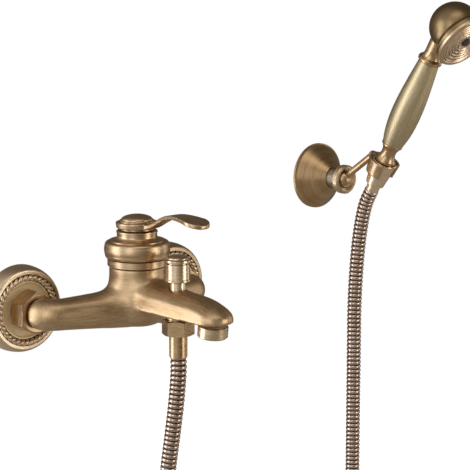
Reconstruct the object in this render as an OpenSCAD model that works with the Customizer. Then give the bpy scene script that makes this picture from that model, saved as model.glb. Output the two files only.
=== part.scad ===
// Wall-mounted bath shower mixer: lever mixer with spout and pull-up diverter, ribbed hose and
// hand shower on a wall bracket. X runs along the wall, Y into the wall and Z up.
// The origin lies on the wall face, midway between the two inlets.

/* [Wall unions] */
// Distance between the two inlet axes
inlet_spacing = 150; // [140:1:170]
// Diameter of the inlet tails over their thread
tail_d = 20.96; // [20:0.02:22]
// Length of the tails behind the wall face
tail_len = 16; // [10:1:30]
// Diameter of the water way through the unions
water_d = 15; // [10:0.5:15.5]
// Diameter of the union thread under the nut
union_thread_d = 26.4; // [24:0.2:27]
// Width of the union nuts across their flats
union_nut_af = 30; // [29.5:0.5:34]
// Length of the union nuts
union_nut_len = 16; // [14:1:22]

/* [Rosettes] */
// Diameter of the rosettes at the wall
rosette_d = 70; // [66:1:80]
// Depth of the rosettes from the wall to the lip
rosette_depth = 13; // [11:0.5:16]
// Outer diameter of the flat lip round the rope
lip_d = 62; // [60:0.5:64]
// Diameter of the rope moulding along its centre
rope_ring_d = 52; // [50:0.5:53]
// Thickness of the rope
rope_d = 4.6; // [3.6:0.1:5]
// Number of twists that show round the ring
rope_twists = 36; // [24:1:40]

/* [Body casting] */
// Diameter of the arms at the unions
arm_d = 26; // [22:0.5:26]
// Diameter of the arms where they meet the barrel
arm_root_d = 32.6; // [28:0.2:33]
// Bend radius of the elbows along their centre
elbow_bend = 13.5; // [13.5:0.5:20]
// Angle by which the arms sweep forward to the barrel
arm_sweep = 13.1; // [4:0.1:16]
// Diameter of the barrel
barrel_d = 44.8; // [44:0.4:50]
// Height of the barrel's rim over the inlet axes
barrel_top = 33; // [30:0.5:36]

/* [Spout] */
// Distance from the barrel axis to the outlet axis
spout_reach = 91.5; // [85:0.5:120]
// Distance from the barrel axis to the diverter axis
diverter_reach = 50; // [44:0.5:56]
// Half width of the spout at the barrel
spout_root_w = 18.2; // [15:0.1:19]
// Diameter of the rounded spout end
spout_end_d = 30.6; // [26:0.2:31]
// Height of the ridge of the spout
ridge_z = 22.8; // [20:0.1:24]
// Radius of the arch across the spout
crown_r = 20; // [19:0.5:24]
// Radius of the ridge line, seen from the side
ridge_r = 260; // [200:5:340]
// Height of the spout's flat underside
spout_bottom = 1.4; // [-3:0.1:1.5]
// Angle by which the outlet points away from the wall
outlet_tilt = 7; // [0:0.5:12]
// Diameter of the aerator ring
aerator_d = 23.4; // [22.8:0.2:26]
// Length of the aerator ring
aerator_len = 9; // [8:0.5:14]

/* [Cartridge and cover] */
// Diameter of the ceramic cartridge
cartridge_d = 35; // [34:0.5:36]
// Diameter of the collar of the cartridge nut
collar_d = 47.4; // [46:0.2:52]
// Height of that collar
collar_h = 6.5; // [4:0.5:9]
// Widest diameter of the bell cover
bell_d = 52.5; // [51:0.5:58]
// Height of the bell cover
bell_h = 22.7; // [20:0.1:26]
// Diameter of the bell cover's neck
neck_d = 32; // [31:0.2:34]

/* [Lever] */
// Diameter of the lever's hub at its top
hub_d = 33.8; // [33.4:0.2:37]
// Reach of the lever from the barrel axis to its tip
lever_reach = 82; // [70:1:90]
// Rise of the lever's blade over its hub
lever_rise = 12.2; // [9:0.1:18]
// Width of the blade at its tip
blade_w = 21.4; // [15:0.2:24]
// Width of the lever at its waist
blade_waist = 10.4; // [8:0.2:13]
// Thickness of the blade
blade_t = 3.4; // [2.6:0.2:5]
// Height of the dome cap over the hub
dome_h = 5.9; // [5:0.1:11]
// Play between the lever's hub and the bell cover
hub_gap = 1.3; // [1.2:0.1:2.5]

/* [Diverter] */
// Diameter of the diverter knob's rim
knob_d = 20.5; // [18:0.5:24]
// Height of the diverter knob
knob_h = 20.8; // [18:0.2:26]
// Diameter of the guide bush
bush_d = 12.3; // [11:0.1:13]
// Height of the bush over the spout's ridge
bush_rise = 5.6; // [4:0.1:9]
// Pull of the diverter knob
diverter_pull = 7; // [5:0.5:7]

/* [Hose] */
// Outer diameter of the hose over its ribs
hose_d = 13; // [11:0.5:14]
// Bore of the hose
hose_bore = 8.5; // [7:0.5:9]
// Spacing of the modelled ribs
rib_pitch = 6.4; // [6.2:0.2:10]
// Width of the hose nut across its flats
hose_nut_af = 22.4; // [22.4:0.2:27]
// Length of the hose nut
hose_nut_len = 12; // [11:0.5:16]
// Diameter of the crimped sleeve at the mixer end
sleeve_d = 14.2; // [12.6:0.1:15]
// Visible length of that sleeve
sleeve_len = 18; // [10:0.5:24]

/* [Wall bracket] */
// Distance from the mixer's middle to the bracket's axis
bracket_x = 257; // [200:1:320]
// Height of the bracket's axis over the inlets
bracket_z = 75; // [40:1:140]
// Diameter of the bracket's rose
rose_d = 59; // [54:1:66]
// Depth of the rose
rose_depth = 22; // [18:0.5:26]
// Distance between the two fixing holes
screw_spacing = 30; // [28:1:34]
// Diameter of the fixing holes
screw_hole_d = 5.2; // [4:0.1:5.6]
// Diameter of the socket that carries the ball
socket_d = 18.8; // [18.4:0.1:19.6]
// Diameter of the ring nut
ring_nut_d = 26; // [24:0.5:30]
// Diameter of the ball
ball_d = 16; // [15:0.1:16]
// Distance from the wall to the centre of the ball
ball_out = 33.8; // [31:0.1:38]
// Thickness of the arm
arm_rod_d = 6.2; // [5:0.1:6.4]
// Distance from the wall to the middle of the cradle
cradle_out = 81.5; // [78:0.5:90]
// Height of the middle of the cradle over the bracket's axis
cradle_rise = 15.6; // [8:0.1:20]
// Length of the cradle's cup
cradle_len = 14.3; // [12:0.1:15]
// Wall of the cup
cradle_wall = 2.4; // [1.8:0.1:3.4]
// Angle of the gap that lets the hose through
cradle_gap = 92; // [80:1:110]

/* [Hand shower] */
// Lean of the hand shower away from the wall
handset_tilt = 28.9; // [20:0.1:36]
// Diameter of the cone nut at its lower end
cone_d1 = 16.5; // [16:0.1:18]
// Diameter of the cone nut at its upper end
cone_d2 = 22.9; // [22:0.1:25]
// Length of the cone nut
cone_len = 24.5; // [22:0.5:28]
// Length of the waisted base
base_len = 18.9; // [16:0.1:24]
// Diameter of the base's beads
bead_d = 18.6; // [17:0.2:20]
// Diameter of the waist
waist_d = 12.6; // [12:0.1:15]
// Length of the grip
grip_len = 83; // [70:1:110]
// Widest diameter of the grip
grip_d = 25.8; // [23:0.2:32]
// Diameter of the bead over the grip
top_bead_d = 21; // [19:0.5:24]
// Diameter of the neck under the head
head_neck_d = 14.4; // [13:0.2:16]
// Distance from the bead to the middle of the ball head
head_rise = 39.5; // [35:0.1:44]
// Offset of the ball head towards the spray side
head_offset = 9.3; // [6:0.1:12]
// Diameter of the ball head
head_d = 42.6; // [40:0.2:48]
// Diameter of the spray face
face_d = 51.6; // [50:0.2:60]
// Distance from the middle of the ball head to the spray face
face_out = 18; // [17:0.5:21]
// Drop of the spray face below the middle of the ball head
face_drop = 1.2; // [0:0.1:3]
// Angle by which the spray face looks down from the grip's square
face_tilt = 12; // [0:0.5:16]

/* [Hidden] */
$fn = 64;
// clearances: fixed fits, running fits and open gaps between bodies
seat = 0.05;
run = 0.06;
gap = 0.3;
// overlap of shapes that are joined end to end
lap = 1;
// stations along the inlet axes, measured out from the wall
nut_out0 = rosette_depth - 1;
nut_out1 = nut_out0 + union_nut_len;
nut_lip = 4;
tail_flange = 3;
washer_t = 2;
flange_out0 = nut_out1 - nut_lip - tail_flange;
union_front = flange_out0 - washer_t;
tailpiece_r = 9.6;
stub_out0 = nut_out1 + gap;
stub_len = 1.5;
tail_in = 5;
elbow_out = stub_out0 + stub_len;
// the arms end on the barrel axis
arm_start_x = inlet_spacing/2 - elbow_bend*(1 - sin(arm_sweep));
arm_start_out = elbow_out + elbow_bend*cos(arm_sweep);
barrel_y = -(arm_start_out + arm_start_x*tan(arm_sweep));
barrel_r = barrel_d/2;
arm_water_r = 5.5;
diverter_y = barrel_y - diverter_reach;
outlet_y = barrel_y - spout_reach;
// rosette section
dish_floor = rosette_depth - 3.6;
groove_depth = 3.2;
rope_play = 0.4;
rope_bulge = 0.42;
rope_r = rope_d/2;
groove_r0 = rope_ring_d/2 - rope_r - rope_bulge - rope_play/2;
groove_r1 = rope_ring_d/2 + rope_r + rope_bulge + rope_play/2;
// cartridge stations along the barrel
chamber_floor = 2;
ring_seal_d = 2.6;
cartridge_bottom = chamber_floor + ring_seal_d;
cartridge_shoulder = barrel_top - 6;
cartridge_neck_r = 14.5;
cartridge_nut_r = 19.5;
rotor_r = 12;
rotor_bottom = barrel_top + 4.3;
lift_z = barrel_top + 13.5;
rotor_top = lift_z + 3;
stem_w = 7;
pin_r = 1.5;
collar_top = barrel_top + collar_h;
bell_spigot_h = 5.5;
bell_spigot_r = 20.6;
bell_top = collar_top + bell_h;
hub_z = bell_top + hub_gap;
hub_h = 4.7;
hub_top = hub_z + hub_h;
hub_wall = 1.5;
hub_roof = 1.6;
boss_r = 6;
dome_r = hub_d/2 - 2.9;
handle_screw_r = 1.6;
// height of the spout's ridge at the diverter
ridge_y = barrel_y - 27;
diverter_ridge = ridge_z - ridge_r + sqrt(ridge_r*ridge_r - pow(diverter_y - ridge_y, 2));
bush_top = diverter_ridge + bush_rise;
chamber_r = 8.5;
bush_bottom = 16;
nipple_in = 3;
nipple_top = spout_bottom + nipple_in;
seal_t = 2;
valve_t = 2;
valve_r = 7.6;
stem_r = 2.5;
knob_socket = 7;
knob_z = bush_top + gap;
outlet_bore_r = 8;
spigot_r = 10.4;
spigot_len = 6;
aerator_gasket_t = 1.2;
aerator_lip = 1.2;
aerator_play = 1.6;
// hose connection below the diverter
nipple_neck = 4;
nipple_thread_r = 10.48;
nipple_thread_len = 6;
nipple_bore_r = 5;
hose_nut_top = spout_bottom - nipple_neck;
hose_nut_bottom = hose_nut_top - hose_nut_len;
sleeve_flange = 2.5;
hose_nut_floor = 2.5;
hose_top = hose_nut_bottom - sleeve_len;
// wall bracket, behind its rose
plate_t = 4;
plate_r = 22;
stud_r = 5;
stud_len = 15;
// pins over and under the ball, so that the arm only turns to the sides
pivot_r = 1.5;
pivot_reach = socket_d/2 - 0.2;
// hand shower stations along its own axis, from the lower end of the cone nut
cup_s0 = (cone_len - cradle_len)/2 + 5.5;
cup_mid = cup_s0 + cradle_len/2;
handset_out = cradle_out - cup_mid*sin(handset_tilt);
handset_z = bracket_z + cradle_rise - cup_mid*cos(handset_tilt);
cone_sleeve_r = 5.85;
cone_sleeve_len = 8;
cone_floor = 4;
cone_thread_r = 8.9;
cone_flange = 2.4;
cone_flange_r = cone_d1/2 - 1.3;
base_s = cone_len;
grip_s = base_s + base_len;
neck_s = grip_s + grip_len;
head_s = neck_s + head_rise;
spigot_s = 4;
grip_bore_r = 6;
bezel_w = 4;
bezel_t = 4;
plate_screw_r = 1.5;
cone_slope = (cone_d2 - cone_d1)/2/cone_len;
// lowest point of the hand shower's hose sleeve, where the hose begins
sleeve_end = [bracket_x, -(handset_out - cone_sleeve_len*sin(handset_tilt)),
    handset_z - cone_sleeve_len*cos(handset_tilt)];
hose_down = [0, sin(handset_tilt), -cos(handset_tilt)];
// the hose hangs in one loop, and its two stretches meet where it hangs straight
hose_seam = [257, -50, -60];
lower_route = [
    [0, diverter_y, hose_top], [0, diverter_y, hose_top - hose_d], [0, -105, -70], [0, -100, -98],
    [0, -94, -130], [0, -88, -175], [0, -83, -222], [2, -80, -272], [6, -77, -326], [16, -74, -386],
    [36, -70, -445], [66, -66, -490], [100, -62, -512], [130, -60, -518], [160, -58, -512],
    [194, -55, -490], [224, -53, -445], [243, -52, -386], [252, -51, -326], [256, -50, -272],
    [257, -50, -215], [257, -50, -150], [257, -50, -90], hose_seam];
upper_route = [
    hose_seam + [0, 0, gap], [257, -50, -46], [257, -50.5, -28], [257, -52, -4], [257, -54.5, 20],
    [257, -58, 40], sleeve_end + hose_d*hose_down, sleeve_end + gap*hose_down];

BRONZE = "#9c7d52";
GRIP_BRONZE = "#b39e6d";
STEEL = "#b9b6b0";
RUBBER = "#26241f";
PLASTIC = "#d9d5ca";
FIBRE = "#6b5c4a";

// A cubic curve and its direction
function bezier(p, t) = pow(1 - t, 3)*p[0] + 3*t*pow(1 - t, 2)*p[1] + 3*t*t*(1 - t)*p[2] + t*t*t*p[3];
function bezier_way(p, t) = 3*pow(1 - t, 2)*(p[1] - p[0]) + 6*t*(1 - t)*(p[2] - p[1]) + 3*t*t*(p[3] - p[2]);
function unit(v) = v/norm(v);
function steps(n) = [for (i = [0:n]) i/n];

// Local Z points straight out of the wall and local Y up
module outward(x, out, z = 0) {
    translate([x, -out, z]) rotate([90, 0, 0]) children();
}

// A round bar between two points that may taper
module taper(p, q, r1, r2) {
    way = q - p;
    length = norm(way);
    translate(p) rotate([0, acos(way.z/length), atan2(way.y, way.x)]) cylinder(h = length, r1 = r1, r2 = r2);
}

module rod(p, q, r) {
    taper(p, q, r, r);
}

// A tube from z0 to z1
module tube(r, bore, z0, z1) {
    difference() {
        translate([0, 0, z0]) cylinder(h = z1 - z0, r = r);
        translate([0, 0, z0 - 1]) cylinder(h = z1 - z0 + 2, r = bore);
    }
}

// A hexagon nut's outside, chamfered at the end that shows
module hexagon_block(af, z0, z1, turn, chamfer_top, chamfer_bottom) {
    corner = af/sqrt(3);
    bevel = (corner - af/2)*0.7;
    intersection() {
        translate([0, 0, z0]) rotate([0, 0, turn]) cylinder(h = z1 - z0, r = corner, $fn = 6);
        rotate_extrude() polygon([
            [0, z0], [chamfer_bottom ? af/2 - 0.3 : corner + 1, z0],
            [corner + 1, chamfer_bottom ? z0 + bevel : z0],
            [corner + 1, chamfer_top ? z1 - bevel : z1],
            [chamfer_top ? af/2 - 0.3 : corner + 1, z1], [0, z1]]);
    }
}

// Wall unions, made once for each inlet at the given X
module inlet_union(x) {
    collar_out = 3;
    color(BRONZE) outward(x, 0) rotate_extrude() polygon([
        [water_d/2, -tail_len], [tail_d/2 - 1, -tail_len], [tail_d/2, 1 - tail_len], [tail_d/2, 0],
        [union_thread_d/2 - 1, 0], [union_thread_d/2 - 1, collar_out], [union_thread_d/2, collar_out + 1],
        [union_thread_d/2, union_front - 1], [union_thread_d/2 - 1, union_front], [water_d/2, union_front]]);
}

module union_washer(x) {
    color(FIBRE) outward(x, union_front) tube(union_thread_d/2 - 1, water_d/2, 0, washer_t);
}

module tailpiece(x) {
    end_out = stub_out0 + tail_in;
    color(BRONZE) outward(x, 0) rotate_extrude() polygon([
        [water_d/2, flange_out0], [union_thread_d/2 - 1, flange_out0],
        [union_thread_d/2 - 1, flange_out0 + tail_flange], [tailpiece_r, flange_out0 + tail_flange],
        [tailpiece_r, end_out], [water_d/2, end_out]]);
}

module union_nut(x) {
    lip_out = flange_out0 + tail_flange;
    color(BRONZE) outward(x, 0) difference() {
        hexagon_block(union_nut_af, nut_out0, nut_out1, 30, true, true);
        translate([0, 0, nut_out0 - 1]) cylinder(h = lip_out - nut_out0 + 1, r = union_thread_d/2 + seat);
        translate([0, 0, nut_out0]) cylinder(h = union_nut_len + 1, r = tailpiece_r + gap);
    }
}

// A domed rosette with a lip, a groove for the rope and a dished middle
module rosette(x) {
    lip_r = lip_d/2;
    wall_r = rosette_d/2;
    hole_r = union_thread_d/2 + gap;
    rim = 1;
    dish_r0 = hole_r + 2.5;
    dish_r1 = groove_r0 - rim;
    dish_top = rosette_depth - 1;
    back_r0 = hole_r + 4;
    back_depth = dish_floor - 2.5;
    dome = [for (t = steps(10)) [lip_r + (wall_r - lip_r)*cos(90*t), rosette_depth*sin(90*t)]];
    dish = [for (t = steps(8)) [dish_r1 - (dish_r1 - dish_r0)*(1 - cos(90*t)),
        dish_top - (dish_top - dish_floor)*sin(90*t)]];
    color(BRONZE) outward(x, 0) rotate_extrude() difference() {
        polygon(concat([[hole_r, 0]], dome,
            [[groove_r1, rosette_depth], [groove_r1, rosette_depth - groove_depth],
            [groove_r0, rosette_depth - groove_depth], [groove_r0, dish_top]],
            dish, [[hole_r, dish_floor]]));
        translate([back_r0, -1]) square([wall_r - 3 - back_r0, back_depth + 1]);
    }
}

// A two-strand rope bent into a ring: its section has two lobes that turn as it goes round
module rope_ring(x) {
    per_twist = 4;
    rows = rope_twists*per_twist;
    sides = 8;
    rope_out = rosette_depth - groove_depth + rope_r + rope_bulge + seat;
    points = [for (i = [0:rows - 1], j = [0:sides - 1]) let (
        turn = 360*i/rows,
        side = 360*j/sides,
        r = rope_r + rope_bulge*cos(2*side - rope_twists*turn),
        reach = rope_ring_d/2 + r*cos(side))
        [x + reach*cos(turn), -rope_out - r*sin(side), reach*sin(turn)]];
    faces = [for (i = [0:rows - 1], j = [0:sides - 1]) let (
        k = (i + 1) % rows,
        m = (j + 1) % sides)
        each [[i*sides + j, k*sides + j, i*sides + m], [i*sides + m, k*sides + j, k*sides + m]]];
    color(BRONZE) polyhedron(points, faces);
}

// One arm with its elbow and stub, for the side that the sign gives
module arm(side) {
    foot = [arm_start_x, -arm_start_out, 0];
    way = [-cos(arm_sweep), -sin(arm_sweep), 0];
    length = arm_start_x/cos(arm_sweep);
    root = length - barrel_r;
    root_s = length - 9;
    step = 0.25;
    // a cone that leans up makes the flare into the barrel: place and growth at both ends
    flare = [root - 9, -0.9, root + 9, 2.6];
    function arm_r(s) = arm_d/2 - step + (arm_root_d/2 - arm_d/2 + step)*s/root_s;
    function middle(s, growth) = foot + s*way + [0, 0, growth + step];
    mirror([side < 0 ? 1 : 0, 0, 0]) {
        outward(inlet_spacing/2, stub_out0) cylinder(h = stub_len + 2*lap, r = arm_d/2 - step);
        translate([inlet_spacing/2 - elbow_bend, -elbow_out, 0]) rotate([0, 0, arm_sweep - 90])
            rotate_extrude(angle = 90 - arm_sweep) translate([elbow_bend, 0]) circle(r = arm_d/2);
        taper(foot - 2*lap*way, foot + root_s*way, arm_r(-2*lap), arm_root_d/2);
        translate(foot + root_s*way) sphere(r = arm_root_d/2 - 0.15);
        taper(middle(flare[0], flare[1]), middle(flare[2], flare[3]), arm_r(flare[0]) + flare[1],
            arm_r(flare[2]) + flare[3]);
    }
}

// The water way of one arm
module arm_bore(side) {
    foot = [arm_start_x, -arm_start_out, 0];
    way = [-cos(arm_sweep), -sin(arm_sweep), 0];
    mirror([side < 0 ? 1 : 0, 0, 0]) {
        outward(inlet_spacing/2, stub_out0 - 1) cylinder(h = tail_in + 1 + lap, r = tailpiece_r + seat);
        translate([inlet_spacing/2 - elbow_bend, -elbow_out, 0]) rotate([0, 0, arm_sweep - 90])
            rotate_extrude(angle = 90 - arm_sweep) translate([elbow_bend, 0]) circle(r = arm_water_r);
        rod(foot - 2*lap*way, [barrel_r/2, barrel_y, 0], arm_water_r - 0.3);
    }
}

// The barrel stands on a rounded boss
module barrel() {
    boss_round = 14.6;
    boss_out = barrel_r + 2.4;
    root_round = 6;
    boss_z = 0;
    centre_r = boss_out - boss_round;
    fillet_r = barrel_r + root_round;
    touch_r = centre_r + (fillet_r - centre_r)*boss_round/(boss_round + root_round);
    fillet_z = boss_z + sqrt(pow(boss_round + root_round, 2) - pow(fillet_r - centre_r, 2));
    rotate_extrude() difference() {
        union() {
            translate([0, boss_z - boss_round]) square([centre_r, barrel_top + boss_round - boss_z]);
            translate([0, boss_z]) square([barrel_r, barrel_top - boss_z]);
            intersection() {
                translate([centre_r, boss_z]) circle(r = boss_round);
                translate([0, boss_z - boss_round]) square([boss_out, 2*boss_round]);
            }
            translate([0, boss_z]) square([touch_r, fillet_z - boss_z]);
        }
        translate([fillet_r, fillet_z]) circle(r = root_round);
    }
}

// The spout: a tapered plan with a round end under an arched, drooping ridge that ends in a dome
module spout() {
    end_r = spout_end_d/2;
    taper = asin((spout_root_w - end_r)/spout_reach);
    reach_back = 45;
    end_turn = -asin((ridge_y - outlet_y)/(ridge_r - crown_r));
    back_turn = asin(reach_back/ridge_r);
    intersection() {
        translate([0, 0, spout_bottom]) linear_extrude(ridge_z - spout_bottom + 5) union() {
            polygon([[-spout_root_w*cos(taper), barrel_y], [spout_root_w*cos(taper), barrel_y],
                [end_r*cos(taper), outlet_y - end_r*sin(taper)],
                [-end_r*cos(taper), outlet_y - end_r*sin(taper)]]);
            translate([0, outlet_y]) circle(r = end_r);
        }
        translate([0, ridge_y, ridge_z - ridge_r]) rotate([0, -90, 0]) rotate([0, 0, end_turn]) {
            rotate_extrude(angle = back_turn - end_turn)
                translate([ridge_r - crown_r, 0]) circle(r = crown_r);
            translate([ridge_r - crown_r, 0, 0]) sphere(r = crown_r - 0.15);
        }
    }
}

// Webs that round the corners between the arms and the spout, cut off by a slope
module webs() {
    web_r = 17;
    web_top = 14;
    slope = 35;
    middle_x = spout_root_w - 1.2 + web_r;
    arm_front = middle_x*tan(arm_sweep) - (arm_root_d/2 - 1.4)/cos(arm_sweep);
    middle_y = arm_front - web_r/cos(arm_sweep);
    end_x = middle_x - web_r*sin(arm_sweep);
    for (side = [0, 1]) mirror([side, 0, 0]) intersection() {
        translate([0, barrel_y, spout_bottom + 0.3]) linear_extrude(web_top) difference() {
            translate([8, middle_y]) square([end_x - 8, -4 - middle_y]);
            translate([middle_x, middle_y]) circle(r = web_r);
        }
        translate([spout_root_w, barrel_y, web_top]) rotate([0, slope, 0]) translate([-30, -60, -60])
            cube([90, 60, 60]);
    }
}

// Local Z runs along the tilted outlet, up into the spout
module at_outlet() {
    translate([0, outlet_y, spout_bottom]) rotate([outlet_tilt, 0, 0]) children();
}

module mixer_body() {
    channel_r = 3.5;
    channel_z0 = 11;
    channel_z1 = 7.5;
    outlet_ceiling = 6;
    color(BRONZE) difference() {
        union() {
            arm(-1);
            arm(1);
            translate([0, barrel_y, 0]) barrel();
            spout();
            webs();
            at_outlet() translate([0, 0, -spigot_len]) cylinder(h = spigot_len + 3, r = spigot_r);
        }
        arm_bore(-1);
        arm_bore(1);
        translate([0, barrel_y, 0]) {
            translate([0, 0, chamber_floor]) cylinder(h = barrel_top, r = cartridge_d/2 + seat);
            translate([0, 0, cartridge_shoulder]) cylinder(h = barrel_top, r = cartridge_nut_r + seat);
        }
        translate([0, diverter_y, spout_bottom - 1])
            cylinder(h = bush_bottom - spout_bottom + 1, r = chamber_r);
        translate([0, diverter_y, 0]) cylinder(h = ridge_z + 5, r = bush_d/2 + seat);
        rod([0, barrel_y, channel_z0], [0, outlet_y, channel_z1], channel_r);
        at_outlet() translate([0, 0, -spigot_len - 1])
            cylinder(h = spigot_len + outlet_ceiling + 1, r = outlet_bore_r);
    }
}

// Cartridge, from the seal at its foot to the stem that the lever sits on
module cartridge_seal() {
    color(RUBBER) translate([0, barrel_y, chamber_floor + ring_seal_d/2])
        rotate_extrude() translate([10, 0]) circle(d = ring_seal_d);
}

module cartridge_body() {
    color(PLASTIC) translate([0, barrel_y, 0]) rotate_extrude() polygon([
        [0, cartridge_bottom], [cartridge_d/2, cartridge_bottom], [cartridge_d/2, cartridge_shoulder],
        [cartridge_neck_r, cartridge_shoulder], [cartridge_neck_r, rotor_bottom + 9.5],
        [rotor_r + run, rotor_bottom + 9.5], [rotor_r + run, rotor_bottom - gap], [0, rotor_bottom - gap]]);
}

module cartridge_nut() {
    edge = 0.8;
    color(BRONZE) translate([0, barrel_y, 0]) rotate_extrude() polygon([
        [cartridge_neck_r + gap, cartridge_shoulder], [cartridge_nut_r, cartridge_shoulder],
        [cartridge_nut_r, barrel_top], [collar_d/2 - edge, barrel_top], [collar_d/2, barrel_top + edge],
        [collar_d/2, collar_top - edge], [collar_d/2 - edge, collar_top], [bell_spigot_r, collar_top],
        [bell_spigot_r, collar_top + bell_spigot_h], [cartridge_neck_r + gap, collar_top + bell_spigot_h]]);
}

module cartridge_rotor() {
    slot_floor = lift_z - 8;
    color(PLASTIC) difference() {
        translate([0, barrel_y, rotor_bottom]) cylinder(h = rotor_top - rotor_bottom, r = rotor_r);
        translate([-stem_w/2 - gap, barrel_y - rotor_r - 1, slot_floor])
            cube([stem_w + 2*gap, 2*rotor_r + 2, rotor_top]);
        translate([-rotor_r + 1.5, barrel_y, lift_z]) rotate([0, 90, 0])
            cylinder(h = 2*rotor_r - 3, r = pin_r);
    }
}

module stem_pin() {
    color(STEEL) translate([-rotor_r + 1.5, barrel_y, lift_z]) rotate([0, 90, 0])
        cylinder(h = 2*rotor_r - 3, r = pin_r);
}

module cartridge_stem() {
    foot = 4.5;
    thread_len = 8;
    top = hub_top - hub_roof;
    color(STEEL) difference() {
        translate([-stem_w/2, barrel_y - stem_w/2, lift_z - foot])
            cube([stem_w, stem_w, top - lift_z + foot]);
        translate([-stem_w, barrel_y, lift_z]) rotate([0, 90, 0]) cylinder(h = 2*stem_w, r = pin_r + run);
        translate([0, barrel_y, top - thread_len]) cylinder(h = thread_len + 1, r = handle_screw_r + seat);
    }
}

// The bell: a rounded skirt, a stepped shoulder and a neck with a bead
module bell_cover() {
    neck_r = neck_d/2;
    bell_r = bell_d/2;
    foot_r = collar_d/2;
    belly_z0 = collar_top + bell_h*0.15;
    belly_z1 = collar_top + bell_h*0.46;
    shoulder_z = collar_top + bell_h*0.59;
    flare_z = collar_top + bell_h*0.77;
    bead_z = bell_top - 2.8;
    throat_z = collar_top + bell_h*0.5;
    throat_r = neck_r - 2.6;
    // a thin lip that backs the play under the hub
    lip_r = throat_r + 0.8;
    lip_h = 0.9;
    step_h = 0.9;
    skirt = [for (t = steps(5)) [bell_r - 0.5 - (bell_r - 0.5 - foot_r)*(1 - cos(90*(1 - t))),
        belly_z0 - (belly_z0 - collar_top)*sin(90*(1 - t))]];
    belly = [for (t = [0.125:0.125:0.9]) [bell_r - 0.5*pow(2*t - 1, 2), belly_z0 + (belly_z1 - belly_z0)*t]];
    shoulder = [for (t = steps(6)) [bell_r - 0.5 - 2.6*(1 - cos(90*t)),
        belly_z1 + (shoulder_z - belly_z1)*sin(90*t)]];
    flare_r = bell_r - 4.2;
    flare = [for (t = steps(8)) [flare_r - (flare_r - neck_r)*sin(90*t),
        shoulder_z + step_h + (flare_z - shoulder_z - step_h)*(1 - cos(90*t))]];
    color(BRONZE) translate([0, barrel_y, 0]) rotate_extrude() difference() {
        polygon(concat([[throat_r, collar_top]], skirt, belly, shoulder, [[flare_r, shoulder_z]], flare,
            [[neck_r, bead_z], [neck_r + 0.4, bead_z + 0.4], [neck_r + 0.4, bead_z + 1.6],
            [neck_r - 1.4, bell_top], [lip_r, bell_top], [lip_r - 0.2, bell_top + lip_h],
            [throat_r, bell_top + lip_h]]));
        translate([0, collar_top - 1]) square([bell_spigot_r + seat, throat_z - collar_top + 1]);
    }
}

// The lever: a hollow hub that hides the stem, and a blade that rises and droops like a leaf
module lever_handle() {
    hub_r = hub_d/2;
    root = 13;
    joint_out = lever_reach - 27;
    joint_z = hub_z + lever_rise + 2.2;
    tip_z = joint_z - 4.6;
    rise = [[root, hub_z + 2], [root + 15, hub_z + 2.4], [joint_out - 22, joint_z + 0.8],
        [joint_out, joint_z]];
    droop = [[joint_out, joint_z], [joint_out + 11, joint_z - 0.4], [lever_reach - 7, tip_z + 2.6],
        [lever_reach, tip_z]];
    line = concat([for (t = steps(12)) [bezier(rise, t), unit(bezier_way(rise, t))]],
        [for (t = [0.125:0.125:1]) [bezier(droop, t), unit(bezier_way(droop, t))]]);
    upper = [for (p = line) p[0] + blade_t/2*[-p[1].y, p[1].x]];
    lower = [for (i = [len(line) - 1:-1:0]) line[i][0] - blade_t/2*[-line[i][1].y, line[i][1].x]];
    tip_r = blade_w/2;
    tip_out = lever_reach - tip_r;
    waist = blade_waist/2;
    side = [[root, waist + 0.6], [root + 14, waist - 0.6], [root + 26, waist - 0.4], [tip_out, tip_r]];
    edge = [for (t = steps(12)) bezier(side, t)];
    plan = concat([for (p = edge) [p.y, -p.x]], [for (i = [len(edge) - 1:-1:0]) [-edge[i].y, -edge[i].x]]);
    inner_r = hub_r - hub_wall - 0.7;
    roof_z = hub_top - hub_roof;
    color(BRONZE) translate([0, barrel_y, 0]) difference() {
        union() {
            rotate_extrude() difference() {
                polygon([[0, hub_z], [hub_r - 0.7, hub_z], [hub_r, hub_top - 0.8], [hub_r - 0.5, hub_top],
                    [0, hub_top]]);
                translate([boss_r, hub_z - 1]) square([inner_r - boss_r, roof_z - hub_z + 1]);
            }
            difference() {
                intersection() {
                    translate([blade_w, 0, 0]) rotate([0, 0, 180]) rotate([90, 0, 90])
                        linear_extrude(2*blade_w) polygon(concat(upper, lower));
                    linear_extrude(hub_z + 4*lever_rise) union() {
                        polygon(plan);
                        translate([0, -tip_out]) circle(r = tip_r);
                    }
                }
                cylinder(h = hub_top + 20, r = inner_r);
            }
        }
        translate([-stem_w/2 - seat, -stem_w/2 - seat, hub_z - 1])
            cube([stem_w + 2*seat, stem_w + 2*seat, roof_z - hub_z + 1]);
        translate([0, 0, roof_z - 1]) cylinder(h = hub_roof + 2, r = handle_screw_r + seat);
    }
}

module handle_screw() {
    shank = 6;
    color(STEEL) translate([0, barrel_y, hub_top]) difference() {
        union() {
            cylinder(h = 2.2, r = 3.2);
            translate([0, 0, -shank]) cylinder(h = shank, r = handle_screw_r);
        }
        translate([-0.4, -4, 1.2]) cube([0.8, 8, 2]);
    }
}

// The hollow dome over the handle screw, with a stepped foot
module dome_cap() {
    step_h = 1.6;
    wall = 1.5;
    cap_r = dome_r - 1.4;
    rise = dome_h - step_h;
    outside = [for (t = steps(10)) [cap_r*cos(90*t), step_h + rise*sin(90*t)]];
    inside = [for (t = steps(8)) [(cap_r - wall)*sin(90*t), step_h + (rise - wall)*cos(90*t)]];
    color(BRONZE) translate([0, barrel_y, hub_top]) rotate_extrude()
        polygon(concat([[dome_r, 0], [dome_r, step_h*0.6], [dome_r - 0.6, step_h]], outside, inside,
            [[cap_r - wall, 0]]));
}

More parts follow.
